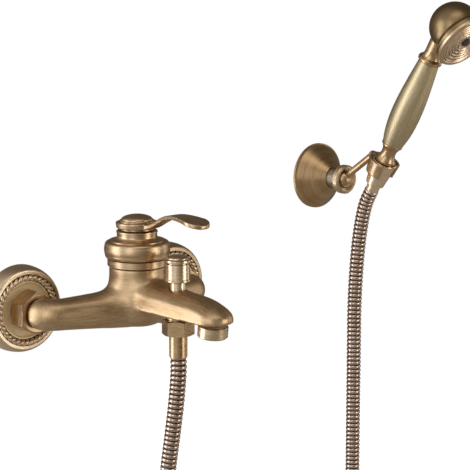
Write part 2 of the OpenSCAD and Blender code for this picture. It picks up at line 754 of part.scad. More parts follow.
// Diverter: the bush stays in the spout while the knob, stem and valve slide
module diverter_bush() {
    color(BRONZE) translate([0, diverter_y, 0]) tube(bush_d/2, stem_r + run, bush_bottom, bush_top);
}

module diverter_knob() {
    rim_r = knob_d/2;
    body_r = rim_r - 0.9;
    groove_z = knob_z + knob_h*0.66;
    rim_z = groove_z + 1.5;
    dome_z = rim_z + 2.2;
    top = knob_z + knob_h;
    dome = [for (t = steps(8)) [(rim_r - 1.6)*cos(90*t), dome_z + 0.5 + (top - dome_z - 0.5)*sin(90*t)]];
    color(BRONZE) translate([0, diverter_y, 0]) difference() {
        rotate_extrude() polygon(concat([[0, knob_z], [body_r, knob_z], [body_r + 0.5, knob_z + 0.5],
            [body_r + 0.5, knob_z + 1.5], [body_r, knob_z + 2], [body_r, groove_z],
            [body_r - 0.7, groove_z + 0.4], [body_r - 0.7, groove_z + 1.1], [rim_r - 0.3, rim_z],
            [rim_r, rim_z + 0.5], [rim_r, dome_z - 0.4], [rim_r - 0.8, dome_z]], dome));
        translate([0, 0, knob_z - 1]) cylinder(h = knob_socket + 1, r = stem_r);
    }
}

module diverter_stem() {
    foot_z = nipple_top + gap + seal_t + valve_t;
    color(STEEL) translate([0, diverter_y, foot_z]) cylinder(h = knob_z + knob_socket - foot_z, r = stem_r);
}

module diverter_valve() {
    color(PLASTIC) translate([0, diverter_y, nipple_top + gap + seal_t]) cylinder(h = valve_t, r = valve_r);
}

module diverter_seal() {
    color(RUBBER) translate([0, diverter_y, nipple_top + gap]) cylinder(h = seal_t, r = valve_r - 0.6);
}

// Aerator: a ring screwed over the outlet spigot holds the insert against its gasket
module aerator_gasket() {
    color(RUBBER) at_outlet()
        tube(spigot_r - 0.2, outlet_bore_r, -spigot_len - aerator_gasket_t, -spigot_len);
}

module aerator_insert() {
    top = -spigot_len - aerator_gasket_t;
    bottom = -aerator_play - aerator_len + aerator_lip;
    bar = 0.8;
    mesh_r = spigot_r - 2;
    color(PLASTIC) at_outlet() {
        tube(spigot_r - 0.2, mesh_r, bottom, top);
        difference() {
            translate([0, 0, bottom]) cylinder(h = bar, r = mesh_r);
            for (ring = [0:2], i = [0:(ring == 0 ? 0 : 6*ring - 1)])
                rotate([0, 0, 60*i/max(ring, 1)]) translate([2.7*ring, 0, bottom - 1])
                    cylinder(h = bar + 2, r = 0.9);
        }
    }
}

module aerator_ring() {
    ring_r = aerator_d/2;
    bottom = -aerator_play - aerator_len;
    edge = 0.6;
    slot_w = 6;
    slot_h = 2.2;
    color(BRONZE) at_outlet() difference() {
        rotate_extrude() polygon([[spigot_r + seat, -aerator_play], [ring_r - edge, -aerator_play],
            [ring_r, -aerator_play - edge],
            [ring_r, bottom + edge], [ring_r - edge, bottom], [spigot_r - 1.6, bottom],
            [spigot_r - 1.6, bottom + aerator_lip], [spigot_r + seat, bottom + aerator_lip]]);
        for (turn = [0, 180]) rotate([0, 0, turn - 62]) translate([spigot_r + 0.4, -slot_w/2, bottom - 1])
            cube([ring_r, slot_w, slot_h + 1]);
    }
}

// Hose connection under the diverter
module shower_nipple() {
    thread_z = hose_nut_top - nipple_thread_len;
    color(BRONZE) translate([0, diverter_y, 0]) rotate_extrude() polygon([
        [nipple_bore_r, thread_z], [nipple_thread_r - 0.8, thread_z], [nipple_thread_r, thread_z + 0.8],
        [nipple_thread_r, hose_nut_top + 0.2], [chamber_r + 0.6, hose_nut_top + 0.2],
        [chamber_r + 0.6, spout_bottom], [chamber_r, spout_bottom], [chamber_r, nipple_top],
        [nipple_bore_r, nipple_top]]);
}

module hose_nut() {
    floor_z = hose_nut_bottom + hose_nut_floor;
    color(BRONZE) translate([0, diverter_y, 0]) difference() {
        hexagon_block(hose_nut_af, hose_nut_bottom, hose_nut_top, 11, true, true);
        translate([0, 0, floor_z]) cylinder(h = hose_nut_len, r = nipple_thread_r + seat);
        translate([0, 0, hose_nut_bottom - 1]) cylinder(h = hose_nut_len, r = sleeve_d/2 + seat);
    }
}

module hose_washer() {
    top = hose_nut_top - nipple_thread_len;
    bottom = hose_nut_bottom + hose_nut_floor + sleeve_flange;
    color(RUBBER) translate([0, diverter_y, 0]) tube(nipple_thread_r - 0.8, nipple_bore_r, bottom, top);
}

module hose_sleeve() {
    flange_z = hose_nut_bottom + hose_nut_floor;
    color(BRONZE) translate([0, diverter_y, 0]) rotate_extrude() polygon([
        [hose_bore/2, hose_top], [sleeve_d/2 - 0.5, hose_top], [sleeve_d/2, hose_top + 0.5],
        [sleeve_d/2, flange_z], [nipple_thread_r - 0.4, flange_z],
        [nipple_thread_r - 0.4, flange_z + sleeve_flange], [hose_bore/2, flange_z + sleeve_flange]]);
}

// A smooth curve through four route points
function between(a, b, c, d, t) = 0.5*(2*b + (c - a)*t + (2*a - 5*b + 4*c - d)*t*t
    + (3*b - a - 3*c + d)*t*t*t);
function near(route, i) = i < 0 ? 2*route[0] - route[1]
    : i >= len(route) ? 2*route[len(route) - 1] - route[len(route) - 2] : route[i];

// A ribbed hose with its bore: crests and valleys take turns along the route
module ribbed_hose(route) {
    sides = 8;
    inner_step = 8;
    valley = 0.65;
    along = concat([for (i = [0:len(route) - 2]) let (
        ribs = max(1, round(norm(route[i + 1] - route[i])/rib_pitch)))
        each [for (k = [0:2*ribs - 1]) between(near(route, i - 1), route[i], route[i + 1], near(route, i + 2),
            k/(2*ribs))]], [route[len(route) - 1]]);
    last = len(along) - 1;
    way = [for (i = [0:last]) i == 0 ? unit(route[1] - route[0])
        : i == last ? unit(route[len(route) - 1] - route[len(route) - 2])
        : unit(along[i + 1] - along[i - 1])];
    inner = concat([for (i = [0:inner_step:last - 3]) i], [last]);
    function ring(i, r) = let (u = unit(cross(way[i], [0, 1, 0])), v = cross(way[i], u))
        [for (j = [0:sides - 1]) along[i] + r*(cos(360*j/sides)*u + sin(360*j/sides)*v)];
    function skin(base, rows, turned) = [for (i = [0:rows - 2], j = [0:sides - 1]) let (
        a = base + i*sides + j,
        b = base + i*sides + (j + 1) % sides)
        each turned ? [[a, a + sides, b], [b, a + sides, b + sides]]
            : [[a, b, a + sides], [b, b + sides, a + sides]]];
    function cap(a, b, turned) = [for (j = [0:sides - 1]) let (k = (j + 1) % sides)
        each turned ? [[a + j, b + j, a + k], [a + k, b + j, b + k]]
            : [[a + j, a + k, b + j], [a + k, b + k, b + j]]];
    points = concat([for (i = [0:last]) each ring(i, hose_d/2 - (i % 2 == 1 ? valley : 0))],
        [for (i = inner) each ring(i, hose_bore/2)]);
    base = (last + 1)*sides;
    faces = concat(skin(0, last + 1, false), skin(base, len(inner), true), cap(0, base, true),
        cap(last*sides, base + (len(inner) - 1)*sides, false));
    polyhedron(points, faces);
}

module hose_lower() {
    color(BRONZE) ribbed_hose(lower_route);
}

module hose_upper() {
    color(BRONZE) ribbed_hose(upper_route);
}

// Wall bracket
module bracket_plate() {
    color(STEEL) outward(bracket_x, 0, bracket_z) difference() {
        union() {
            cylinder(h = plate_t, r = plate_r);
            cylinder(h = plate_t + stud_len, r = stud_r);
        }
        for (side = [-1, 1]) translate([0, side*screw_spacing/2, -1])
            cylinder(h = plate_t + 2, d = screw_hole_d);
    }
}

module bracket_rose() {
    rim_h = 3;
    wall = 2;
    mouth_r = socket_d/2 + seat;
    top_r = mouth_r + 0.9;
    rose_r = rose_d/2;
    color(BRONZE) outward(bracket_x, 0, bracket_z) rotate_extrude() polygon([
        [rose_r - wall, 0], [rose_r, 0], [rose_r, rim_h - 0.8], [rose_r - 1.4, rim_h],
        [top_r, rose_depth], [mouth_r, rose_depth], [mouth_r, rose_depth - wall],
        [rose_r - wall - 1, rim_h - 1]]);
}

module bracket_socket() {
    front = ball_out;
    thread_d = 0.5;
    color(STEEL) outward(bracket_x, 0, bracket_z) difference() {
        translate([0, 0, plate_t]) cylinder(h = front - plate_t, d = socket_d);
        translate([0, 0, plate_t - 1]) cylinder(h = stud_len + 2, r = stud_r + seat);
        translate([0, 0, ball_out]) sphere(d = ball_d + 2*run);
        translate([0, -socket_d, ball_out]) rotate([-90, 0, 0]) cylinder(h = 2*socket_d, r = pivot_r + run);
        for (z = [rose_depth + 1.5:1.5:front - 3]) translate([0, 0, z])
            rotate_extrude() translate([socket_d/2, 0]) circle(r = thread_d);
    }
}

module ring_nut() {
    back = ball_out - 1.6;
    front = ball_out + 5;
    lip = ball_out + 3;
    lip_r = 7.3;
    mouth_r = 10.3;
    edge = 1.2;
    nut_r = ring_nut_d/2;
    color(BRONZE) outward(bracket_x, 0, bracket_z) difference() {
        rotate_extrude() polygon([[0, back], [nut_r - edge, back], [nut_r, back + edge],
            [nut_r, front - edge], [nut_r - edge, front], [0, front]]);
        translate([0, 0, back - 1])
            cylinder(h = ball_out - back + 1 + pivot_r + gap, d = socket_d + 2*seat);
        translate([0, 0, ball_out]) sphere(d = ball_d + 2*run);
        translate([0, 0, ball_out]) cylinder(h = front, r = lip_r);
        translate([0, 0, lip]) cylinder(h = front - lip + 0.01, r1 = lip_r, r2 = mouth_r);
    }
}

// Local Z runs up the hand shower, and local -Y points the way it sprays
module at_handset(s = 0) {
    translate([bracket_x, -handset_out, handset_z]) rotate([handset_tilt, 0, 0])
        translate([0, 0, s]) children();
}

// The ball, the rod and the split cup that holds the cone nut
module bracket_arm() {
    in_r0 = cone_d1/2 + cone_slope*cup_s0 + gap;
    in_r1 = in_r0 + cone_slope*cradle_len;
    out_r0 = in_r0 + cradle_wall;
    out_r1 = in_r1 + cradle_wall;
    knuckle_r = arm_rod_d/2 + 0.7;
    knuckle_y = out_r1 + 0.4;
    knuckle_s = cup_s0 + cradle_len - knuckle_r;
    knuckle = [bracket_x, -handset_out + knuckle_y*cos(handset_tilt) - knuckle_s*sin(handset_tilt),
        handset_z + knuckle_y*sin(handset_tilt) + knuckle_s*cos(handset_tilt)];
    slot_r = 30;
    color(BRONZE) difference() {
        union() {
            outward(bracket_x, ball_out, bracket_z) sphere(d = ball_d);
            translate([bracket_x, -ball_out, bracket_z - pivot_reach])
                cylinder(h = 2*pivot_reach, r = pivot_r);
            rod([bracket_x, -ball_out, bracket_z], knuckle, arm_rod_d/2);
            translate(knuckle) sphere(r = knuckle_r);
            at_handset(cup_s0) cylinder(h = cradle_len, r1 = out_r0, r2 = out_r1);
        }
        at_handset(cup_s0) translate([0, 0, -0.01])
            cylinder(h = cradle_len + 0.02, r1 = in_r0, r2 = in_r1);
        at_handset(cup_s0 - 1) linear_extrude(cradle_len + 2) polygon([[0, 0],
            [-slot_r*sin(cradle_gap/2), -slot_r*cos(cradle_gap/2)],
            [slot_r*sin(cradle_gap/2), -slot_r*cos(cradle_gap/2)]]);
    }
}

// Hand shower, from the cone nut in the cradle to the spray face
module cone_nut() {
    edge = 0.6;
    color(BRONZE) at_handset() rotate_extrude() polygon([
        [cone_sleeve_r + seat, 0], [cone_d1/2 - edge, 0], [cone_d1/2, edge],
        [cone_d2/2, cone_len - edge], [cone_d2/2 - edge, cone_len], [cone_thread_r + seat, cone_len],
        [cone_thread_r + seat, cone_floor + 3], [cone_flange_r + 0.1, cone_floor],
        [cone_sleeve_r + seat, cone_floor]]);
}

module cone_sleeve() {
    color(BRONZE) at_handset() rotate_extrude() polygon([
        [hose_bore/2, -cone_sleeve_len], [cone_sleeve_r - 0.4, -cone_sleeve_len],
        [cone_sleeve_r, 0.4 - cone_sleeve_len], [cone_sleeve_r, cone_floor], [cone_flange_r, cone_floor],
        [cone_flange_r, cone_floor + cone_flange], [hose_bore/2, cone_floor + cone_flange]]);
}

module cone_washer() {
    color(RUBBER) at_handset(cone_floor + cone_flange)
        tube(cone_flange_r, hose_bore/2, 0, washer_t);
}

module handset_base() {
    spigot_s0 = cone_floor + cone_flange + washer_t;
    thread_s0 = cone_floor + 4;
    bead_r = bead_d/2;
    bead_h = 2.4;
    waist = [for (t = steps(12)) [bead_r - 0.8 - (bead_r - 0.8 - waist_d/2)*sin(180*t),
        base_s + bead_h + (base_len - 2*bead_h)*t]];
    color(BRONZE) at_handset() rotate_extrude() polygon(concat([
        [hose_bore/2, spigot_s0], [cone_flange_r, spigot_s0], [cone_thread_r, spigot_s0 + 2],
        [cone_thread_r, base_s], [bead_r - 0.6, base_s], [bead_r, base_s + 0.6],
        [bead_r, base_s + bead_h - 0.6], [bead_r - 0.8, base_s + bead_h]], waist, [
        [bead_r - 0.8, grip_s - bead_h], [bead_r, grip_s - bead_h + 0.6], [bead_r, grip_s - 0.5],
        [bead_r - 0.5, grip_s], [grip_bore_r - seat, grip_s], [grip_bore_r - seat, grip_s + spigot_s],
        [hose_bore/2, grip_s + spigot_s]]));
}

module handset_grip() {
    foot_r = bead_d/2 - 0.1;
    head_r = top_bead_d/2 - 1.5;
    belly = grip_d/2;
    swell = [[foot_r, grip_s], [belly*1.24, grip_s + grip_len*0.3], [belly*0.93, grip_s + grip_len*0.64],
        [head_r, neck_s]];
    color(GRIP_BRONZE) at_handset() rotate_extrude() polygon(concat(
        [[grip_bore_r, grip_s]], [for (t = steps(18)) bezier(swell, t)], [[grip_bore_r, neck_s]]));
}

module handset_neck() {
    bead_r = top_bead_d/2;
    bead_h = 4;
    throat = [for (t = steps(8)) [head_neck_d/2 + (bead_r - 1.2 - head_neck_d/2)*(1 - sin(90*t)),
        neck_s + bead_h + 6*(1 - cos(90*t))]];
    color(BRONZE) at_handset() difference() {
        rotate_extrude() polygon(concat([[4, neck_s - spigot_s], [grip_bore_r - seat, neck_s - spigot_s],
            [grip_bore_r - seat, neck_s], [bead_r - 1, neck_s], [bead_r, neck_s + 1],
            [bead_r, neck_s + bead_h - 1.2], [bead_r - 1, neck_s + bead_h]], throat,
            [[head_neck_d/2, head_s], [4, head_s]]));
        translate([0, -head_offset, head_s]) sphere(d = head_d);
    }
}

// Local Z points out of the spray face, from the middle of the ball head
module at_head() {
    at_handset() translate([0, -head_offset, head_s]) rotate([90, 0, 0]) children();
}

// The spray face lies a little below the middle of the ball and looks down
module at_face() {
    at_head() rotate([face_tilt, 0, 0]) translate([0, -face_drop, 0]) children();
}

module head_shell() {
    wall = 2.2;
    head_r = head_d/2;
    rim_r = face_d/2 - 0.6;
    back = face_out - bezel_t;
    root = back - 9;
    root_r = sqrt(head_r*head_r - root*root) - face_drop - 0.4;
    color(BRONZE) difference() {
        union() {
            at_head() intersection() {
                sphere(r = head_r);
                translate([-head_r - 1, -head_r - 1, -head_r - 1])
                    cube([2*head_r + 2, 2*head_r + 2, head_r + 1 + back - 0.5]);
            }
            at_face() rotate_extrude() polygon([[0, root], [root_r, root], [rim_r, back - 2.5], [rim_r, back],
                [0, back]]);
        }
        at_head() sphere(r = head_r - wall - 1);
        at_face() translate([0, 0, root + 5.2]) cylinder(h = 20, r = rim_r - bezel_w + 0.5);
    }
}

module spray_bezel() {
    rim_r = face_d/2;
    color(BRONZE) at_face() rotate_extrude() polygon([
        [rim_r - bezel_w, face_out - bezel_t], [rim_r - 0.6, face_out - bezel_t],
        [rim_r, face_out - bezel_t + 0.8], [rim_r, face_out - 1.2], [rim_r - 1, face_out],
        [rim_r - bezel_w + 1, face_out], [rim_r - bezel_w, face_out - 0.8]]);
}

module spray_plate() {
    plate_r0 = face_d/2 - bezel_w - seat;
    front = face_out - 1;
    back = face_out - bezel_t;
    rings = [8, 13, 18];
    color(BRONZE) at_face() difference() {
        translate([0, 0, back]) cylinder(h = front - back, r = plate_r0);
        for (r = [5.5, 10.5, 15.5, 20.5]) rotate_extrude() translate([r, front]) circle(r = 0.5);
        for (r = rings, i = [0:r - 1]) rotate([0, 0, 360*i/r]) translate([r, 0, back - 1])
            cylinder(h = front - back + 2, r = 0.6);
        translate([0, 0, back - 1]) cylinder(h = front - back + 2, r = plate_screw_r);
    }
}

module plate_screw() {
    front = face_out - 1;
    color(RUBBER) at_face() {
        translate([0, 0, front]) cylinder(h = 1.6, r1 = 4, r2 = 3.2);
        translate([0, 0, front - 6]) cylinder(h = 6, r = plate_screw_r);
    }
}

half = inlet_spacing/2;
inlet_union(-half);  // inlet_union_hot
inlet_union(half);  // inlet_union_cold
union_washer(-half);  // union_washer_hot
union_washer(half);  // union_washer_cold
tailpiece(-half);  // tailpiece_hot
tailpiece(half);  // tailpiece_cold
union_nut(-half);  // union_nut_hot
union_nut(half);  // union_nut_cold
rosette(-half);  // rosette_hot
rosette(half);  // rosette_cold
rope_ring(-half);  // rope_ring_hot
rope_ring(half);  // rope_ring_cold
mixer_body();
cartridge_seal();
cartridge_body();
cartridge_nut();
cartridge_rotor();
stem_pin();
cartridge_stem();
bell_cover();
lever_handle();
handle_screw();
dome_cap();
diverter_bush();
diverter_knob();
diverter_stem();
diverter_valve();
diverter_seal();
aerator_gasket();
aerator_insert();
aerator_ring();
shower_nipple();
hose_nut();
hose_washer();
hose_sleeve();
hose_lower();
hose_upper();
bracket_plate();
bracket_rose();
bracket_socket();
ring_nut();
bracket_arm();
cone_nut();
cone_washer();
cone_sleeve();
handset_base();
handset_grip();
handset_neck();
head_shell();
spray_plate();
spray_bezel();
plate_screw();
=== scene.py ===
# bath shower mixer: finishes, light, softened castings, rope rings, spray face and hose
import math

import bmesh
import bpy
import numpy
from mathutils import Matrix, Vector


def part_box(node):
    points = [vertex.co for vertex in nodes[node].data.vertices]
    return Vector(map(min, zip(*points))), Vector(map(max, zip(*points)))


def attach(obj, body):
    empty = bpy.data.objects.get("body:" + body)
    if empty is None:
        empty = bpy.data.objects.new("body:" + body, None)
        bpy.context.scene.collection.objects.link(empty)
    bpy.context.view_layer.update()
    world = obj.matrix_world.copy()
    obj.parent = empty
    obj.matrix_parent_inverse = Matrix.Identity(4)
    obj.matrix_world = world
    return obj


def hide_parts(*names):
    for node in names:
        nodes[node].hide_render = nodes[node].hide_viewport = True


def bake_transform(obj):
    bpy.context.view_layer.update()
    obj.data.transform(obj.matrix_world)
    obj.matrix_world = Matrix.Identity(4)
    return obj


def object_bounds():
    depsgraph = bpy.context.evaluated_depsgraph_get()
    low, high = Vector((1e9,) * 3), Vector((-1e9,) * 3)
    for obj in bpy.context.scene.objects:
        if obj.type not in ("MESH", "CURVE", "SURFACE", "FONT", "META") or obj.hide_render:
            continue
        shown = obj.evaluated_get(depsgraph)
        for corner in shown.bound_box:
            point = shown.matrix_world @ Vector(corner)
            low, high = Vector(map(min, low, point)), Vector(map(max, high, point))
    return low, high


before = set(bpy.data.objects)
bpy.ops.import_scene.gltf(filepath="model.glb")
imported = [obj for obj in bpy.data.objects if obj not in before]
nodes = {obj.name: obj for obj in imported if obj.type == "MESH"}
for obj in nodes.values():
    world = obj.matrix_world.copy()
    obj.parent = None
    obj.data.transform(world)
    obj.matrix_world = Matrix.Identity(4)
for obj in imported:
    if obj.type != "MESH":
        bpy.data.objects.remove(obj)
cadLow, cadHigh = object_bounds()
scene = bpy.context.scene
print("frame loaded:", len(nodes), "nodes")

# shared places, in metres, as in the part's source
barrelY = -0.057972
diverterY = barrelY - 0.050
outletY = barrelY - 0.0915
inletX = 0.075
bracketX = 0.257
bracketZ = 0.075
hotInlet = (-inletX, 0, 0)
coldInlet = (inletX, 0, 0)
bracketPlace = (bracketX, 0, bracketZ)
outletPlace = (0, outletY, 0.001)
leverPlace = (0, barrelY, 0.07)
leverWay = (0, 1, 0)
armPlace = (bracketX, -0.034, bracketZ)
armWay = (0, -0.8, 0.6)
fromWall = (0, -1, 0)

# the hand shower, along its own tilted axis
handsetTilt = math.radians(28.9)
faceTilt = math.radians(12)  # the spray face nods down from the head
headHeight = 0.1659  # from the foot to the middle of the head
headForward = 0.0093
faceDrop = 0.0012
handsetFoot = Vector((bracketX, -0.072922, 0.075061))  # lower end of the cone nut
handsetUp = Vector((0, -math.sin(handsetTilt), math.cos(handsetTilt)))
sprayWay = Vector((0, -math.cos(handsetTilt), -math.sin(handsetTilt)))
headCentre = handsetFoot + headHeight * handsetUp + headForward * sprayWay
faceWay = math.cos(faceTilt) * sprayWay - math.sin(faceTilt) * handsetUp
faceUp = math.cos(faceTilt) * handsetUp + math.sin(faceTilt) * sprayWay
faceCentre = headCentre - faceDrop * faceUp


def frameAlong(way):  # turns +Z to the given direction
    return Vector(way).to_track_quat("Z", "Y").to_euler()


# finishes

class Tree:  # shorthand for wiring a node tree
    def __init__(self, tree):
        self.tree = tree

    def add(self, kind, inputs=None, **settings):
        node = self.tree.nodes.new(kind)
        for key, value in settings.items():
            setattr(node, key, value)
        for key, value in (inputs or {}).items():
            self.put(node.inputs[key], value)
        return node

    def put(self, socket, value):
        if isinstance(value, bpy.types.NodeSocket):
            self.tree.links.new(value, socket)
        elif isinstance(value, bpy.types.Node):
            self.tree.links.new(value.outputs[0], socket)
        else:
            socket.default_value = value

    def math(self, operation, a, b=0.0, c=0.0):
        return self.add("ShaderNodeMath", {0: a, 1: b, 2: c}, operation=operation).outputs[0]

    def mix(self, factor, a, b):  # the Mix node's colours are its inputs 6 and 7 and its output 2
        return self.add("ShaderNodeMix", {0: factor, 6: a, 7: b}, data_type="RGBA").outputs[2]

    def mixValue(self, factor, a, b):
        return self.add("ShaderNodeMix", {0: factor, 2: a, 3: b}, data_type="FLOAT").outputs[0]

    def spread(self, value, low, high, to0=0.0, to1=1.0, smooth=False):
        node = self.add("ShaderNodeMapRange", {0: value, 1: low, 2: high, 3: to0, 4: to1})
        if smooth:
            node.interpolation_type = "SMOOTHSTEP"
        return node.outputs[0]


def newMaterial(name):
    material = bpy.data.materials.new(name)
    material.use_nodes = True
    material.node_tree.nodes.clear()
    tree = Tree(material.node_tree)
    shader = tree.add("ShaderNodeBsdfPrincipled")
    out = tree.add("ShaderNodeOutputMaterial")
    tree.put(out.inputs["Surface"], shader)
    return material, tree, shader


def giveFinish(mesh, material):
    mesh.materials.clear()
    mesh.materials.append(material)


def tones(light, middle):
    return {"light": (*light, 1), "middle": (*middle, 1)}


noiseRange = (0.3, 0.7)  # where nearly all of a noise texture's values lie
brassLook = {
    **tones((0.66, 0.480, 0.295), (0.42, 0.255, 0.120)),
    # dark: painted shade for corners, which also stands for dark patina
    "dark": (0.13, 0.070, 0.036, 1),
    "wear": (0.36, 0.62),  # streaks at which the middle and the light tone are full
    "roughness": 0.33,
    "smoother": 0.08,  # how far streaks go below and above the roughness
    "rougher": 0.10,
    "fine": 2600.0,  # brush lines per metre
    "coarse": 420.0,
    "cloud": 60.0,  # patches of wear per metre
    "cloudDetail": 4.0,
    "cloudShare": 0.12,
    "hollow": 0.004,  # reach of the painted shade in corners, which also stands for dark patina
    "shadeAndPatina": (0.2, 0.8),  # openness of a corner at which the painted shade and patina are full and gone
    "shadeAndPatinaSamples": 8,
    "bump": 0.16,
    "bumpDepth": 0.0004,
}
brushLook = {
    "drawn": (1, 1, 0.035),  # squeeze along x, y and z, which draws the lines out along Z
    "turned": 0.0005,  # squeeze of the angle round Z
    "fineDetail": 2.0,
    "coarseDetail": 3.0,
    "coarseShare": 0.5,
    "roughness": 0.6,
}


def lineNoise(tree, lines, scale, detail):
    inputs = {"Vector": lines, "Scale": scale, "Detail": detail, "Roughness": brushLook["roughness"]}
    return tree.add("ShaderNodeTexNoise", inputs).outputs[0]


def reachOf(tree, x, y):  # distance from the local Z axis
    return tree.math("SQRT", tree.math("ADD", tree.math("MULTIPLY", x, x), tree.math("MULTIPLY", y, y)))


def turnedLines(tree, x, y, z):  # brush lines that run round the local Z axis
    turn = tree.math("MULTIPLY", tree.math("ARCTAN2", y, x), brushLook["turned"])
    return tree.add("ShaderNodeCombineXYZ", {0: reachOf(tree, x, y), 1: z, 2: turn})


def drawnLines(tree, x, y, z, squeeze=brushLook["drawn"]):  # brush lines that run along one axis
    squeezed = [tree.math("MULTIPLY", value, share) for value, share in zip((x, y, z), squeeze)]
    return tree.add("ShaderNodeCombineXYZ", dict(enumerate(squeezed)))


def localPlace(tree, centre, turn):
    place = tree.add("ShaderNodeTexCoord").outputs["Object"]
    inputs = {"Vector": place, "Location": centre, "Rotation": turn}
    mapped = tree.add("ShaderNodeMapping", inputs, vector_type="TEXTURE")
    split = tree.add("ShaderNodeSeparateXYZ", {0: mapped})
    return place, split.outputs[0], split.outputs[1], split.outputs[2]


def streakOf(tree, lines, look):
    fine = lineNoise(tree, lines, look["fine"], brushLook["fineDetail"])
    coarse = lineNoise(tree, lines, look["coarse"], brushLook["coarseDetail"])
    return tree.mixValue(brushLook["coarseShare"], fine, coarse)


def brassFrom(tree, shader, streak, place, look, inDish=None):
    inputs = {"Vector": place, "Scale": look["cloud"], "Detail": look["cloudDetail"]}
    cloud = tree.add("ShaderNodeTexNoise", inputs).outputs[0]
    worn = tree.spread(tree.mixValue(look["cloudShare"], streak, cloud), *look["wear"])
    colour = tree.mix(worn, look["middle"], look["light"])
    smoothest, roughest = look["roughness"] - look["smoother"], look["roughness"] + look["rougher"]
    rough = tree.spread(streak, *noiseRange, smoothest, roughest)
    shader.inputs["Metallic"].default_value = 1.0
    if inDish is not None:  # painted light: a paler, duller ground inside the rope ring, which lightens the dish where it is shaded
        colour = tree.mix(inDish, colour, tree.mix(worn, look["groundDim"], look["ground"]))
        rough = tree.mixValue(inDish, rough, look["dishRough"])
        tree.put(shader.inputs["Metallic"], tree.mixValue(inDish, 1.0, look["dishMetal"]))
    # painted shade: the colour darkens towards the dark tone in corners that ambient occlusion finds,
    # partly meant as patina
    reach = {"Distance": look["hollow"]}
    corner = tree.add("ShaderNodeAmbientOcclusion", reach, samples=look["shadeAndPatinaSamples"])
    openness = tree.spread(corner.outputs["AO"], *look["shadeAndPatina"])
    tree.put(shader.inputs["Base Color"], tree.mix(openness, look["dark"], colour))
    tree.put(shader.inputs["Roughness"], rough)
    bumpInputs = {"Strength": look["bump"], "Distance": look["bumpDepth"], "Height": streak}
    tree.put(shader.inputs["Normal"], tree.add("ShaderNodeBump", bumpInputs))


def brushedBrass(name, centre=(0, 0, 0), way=(0, 0, 1), drawn=False, **changes):
    look = dict(brassLook, **changes)
    material, tree, shader = newMaterial(name)
    place, x, y, z = localPlace(tree, centre, frameAlong(way))
    lines = (drawnLines if drawn else turnedLines)(tree, x, y, z)
    inDish = None
    if "dish" in look:
        inner, outer = look["dish"] - look["dishEdge"], look["dish"] + look["dishEdge"]
        inDish = tree.spread(reachOf(tree, x, y), inner, outer, 1.0, 0.0, smooth=True)
    brassFrom(tree, shader, streakOf(tree, lines, look), place, look, inDish)
    return material


castingLook = {
    **tones((0.62, 0.45, 0.270), (0.43, 0.265, 0.122)),
    "roughness": 0.40,
    "hollow": 0.002,
    "coarse": 800.0,
    "armLines": (0.035, 0.25, 1),  # squeeze of the brush lines along x, y and z
    "spoutLines": (1, 0.035, 0.5),
    "elbows": (0.060, 0.072),  # distance from the middle plane where the arms' lines give way
    "barrel": (0.010, 0.020),  # height where lines begin to go round
    "spout": (-0.030, -0.018),  # in front of the barrel's axis
}


def castingBrass(name, changes):  # brushed along the arms, round the barrel and along the spout
    look = dict(brassLook, **changes)
    material, tree, shader = newMaterial(name)
    place, x, y, z = localPlace(tree, (0, barrelY, 0), (0, 0, 0))
    alongArms = streakOf(tree, drawnLines(tree, x, y, z, look["armLines"]), look)
    alongSpout = streakOf(tree, drawnLines(tree, x, y, z, look["spoutLines"]), look)
    roundBarrel = streakOf(tree, turnedLines(tree, x, y, z), look)
    onElbow = tree.spread(tree.math("ABSOLUTE", x), *look["elbows"], smooth=True)
    onBarrel = tree.spread(z, *look["barrel"], smooth=True)
    onSpout = tree.spread(y, *look["spout"], 1.0, 0.0, smooth=True)
    onSides = tree.mixValue(onBarrel, alongArms, roundBarrel)
    streak = tree.mixValue(tree.math("MAXIMUM", onSpout, onElbow), onSides, alongSpout)
    brassFrom(tree, shader, streak, place, look)
    return material


plainLook = {
    "grain": 900.0,  # specks per metre
    "detail": 3.0,
    "dim": 0.78,
    "roughSpread": 0.06,
    "bump": 0.12,
    "bumpDepth": 0.0003,
}


def plainFinish(name, colour, roughness, metallic=0.0):
    look = plainLook
    material, tree, shader = newMaterial(name)
    place = tree.add("ShaderNodeTexCoord").outputs["Object"]
    inputs = {"Vector": place, "Scale": look["grain"], "Detail": look["detail"]}
    noise = tree.add("ShaderNodeTexNoise", inputs).outputs[0]
    dim = tuple(c * look["dim"] for c in colour)
    tree.put(shader.inputs["Base Color"], tree.mix(noise, (*dim, 1), (*colour, 1)))
    smoothest, roughest = roughness - look["roughSpread"], roughness + look["roughSpread"]
    tree.put(shader.inputs["Roughness"], tree.spread(noise, *noiseRange, smoothest, roughest))
    shader.inputs["Metallic"].default_value = metallic
    bumpInputs = {"Strength": look["bump"], "Distance": look["bumpDepth"], "Height": noise}
    tree.put(shader.inputs["Normal"], tree.add("ShaderNodeBump", bumpInputs))
    return material


# looks that differ from the common brass
unionLook = {"hollow": 0.0012}
rosetteLook = {
    # painted light: tones paler than the other brass, to lighten the rims where little light falls
    **tones((0.84, 0.67, 0.46), (0.64, 0.47, 0.29)),
    "hollow": 0.0012,
    "dish": 0.0238,  # radius of the ground inside the rope ring
    "dishEdge": 0.0004,
    "dishMetal": 0.35,
    "dishRough": 0.6,
    # painted light: the ground's pale tones lighten the shaded dish
    "ground": (0.97, 0.79, 0.49, 1),
    "groundDim": (0.78, 0.60, 0.34, 1),
}
# painted shade: the cold rosette is a darker copy of this look, for the mixer's shade on it
shadedColdRosetteLook = dict(rosetteLook, **tones((0.68, 0.51, 0.33), (0.50, 0.34, 0.19)))
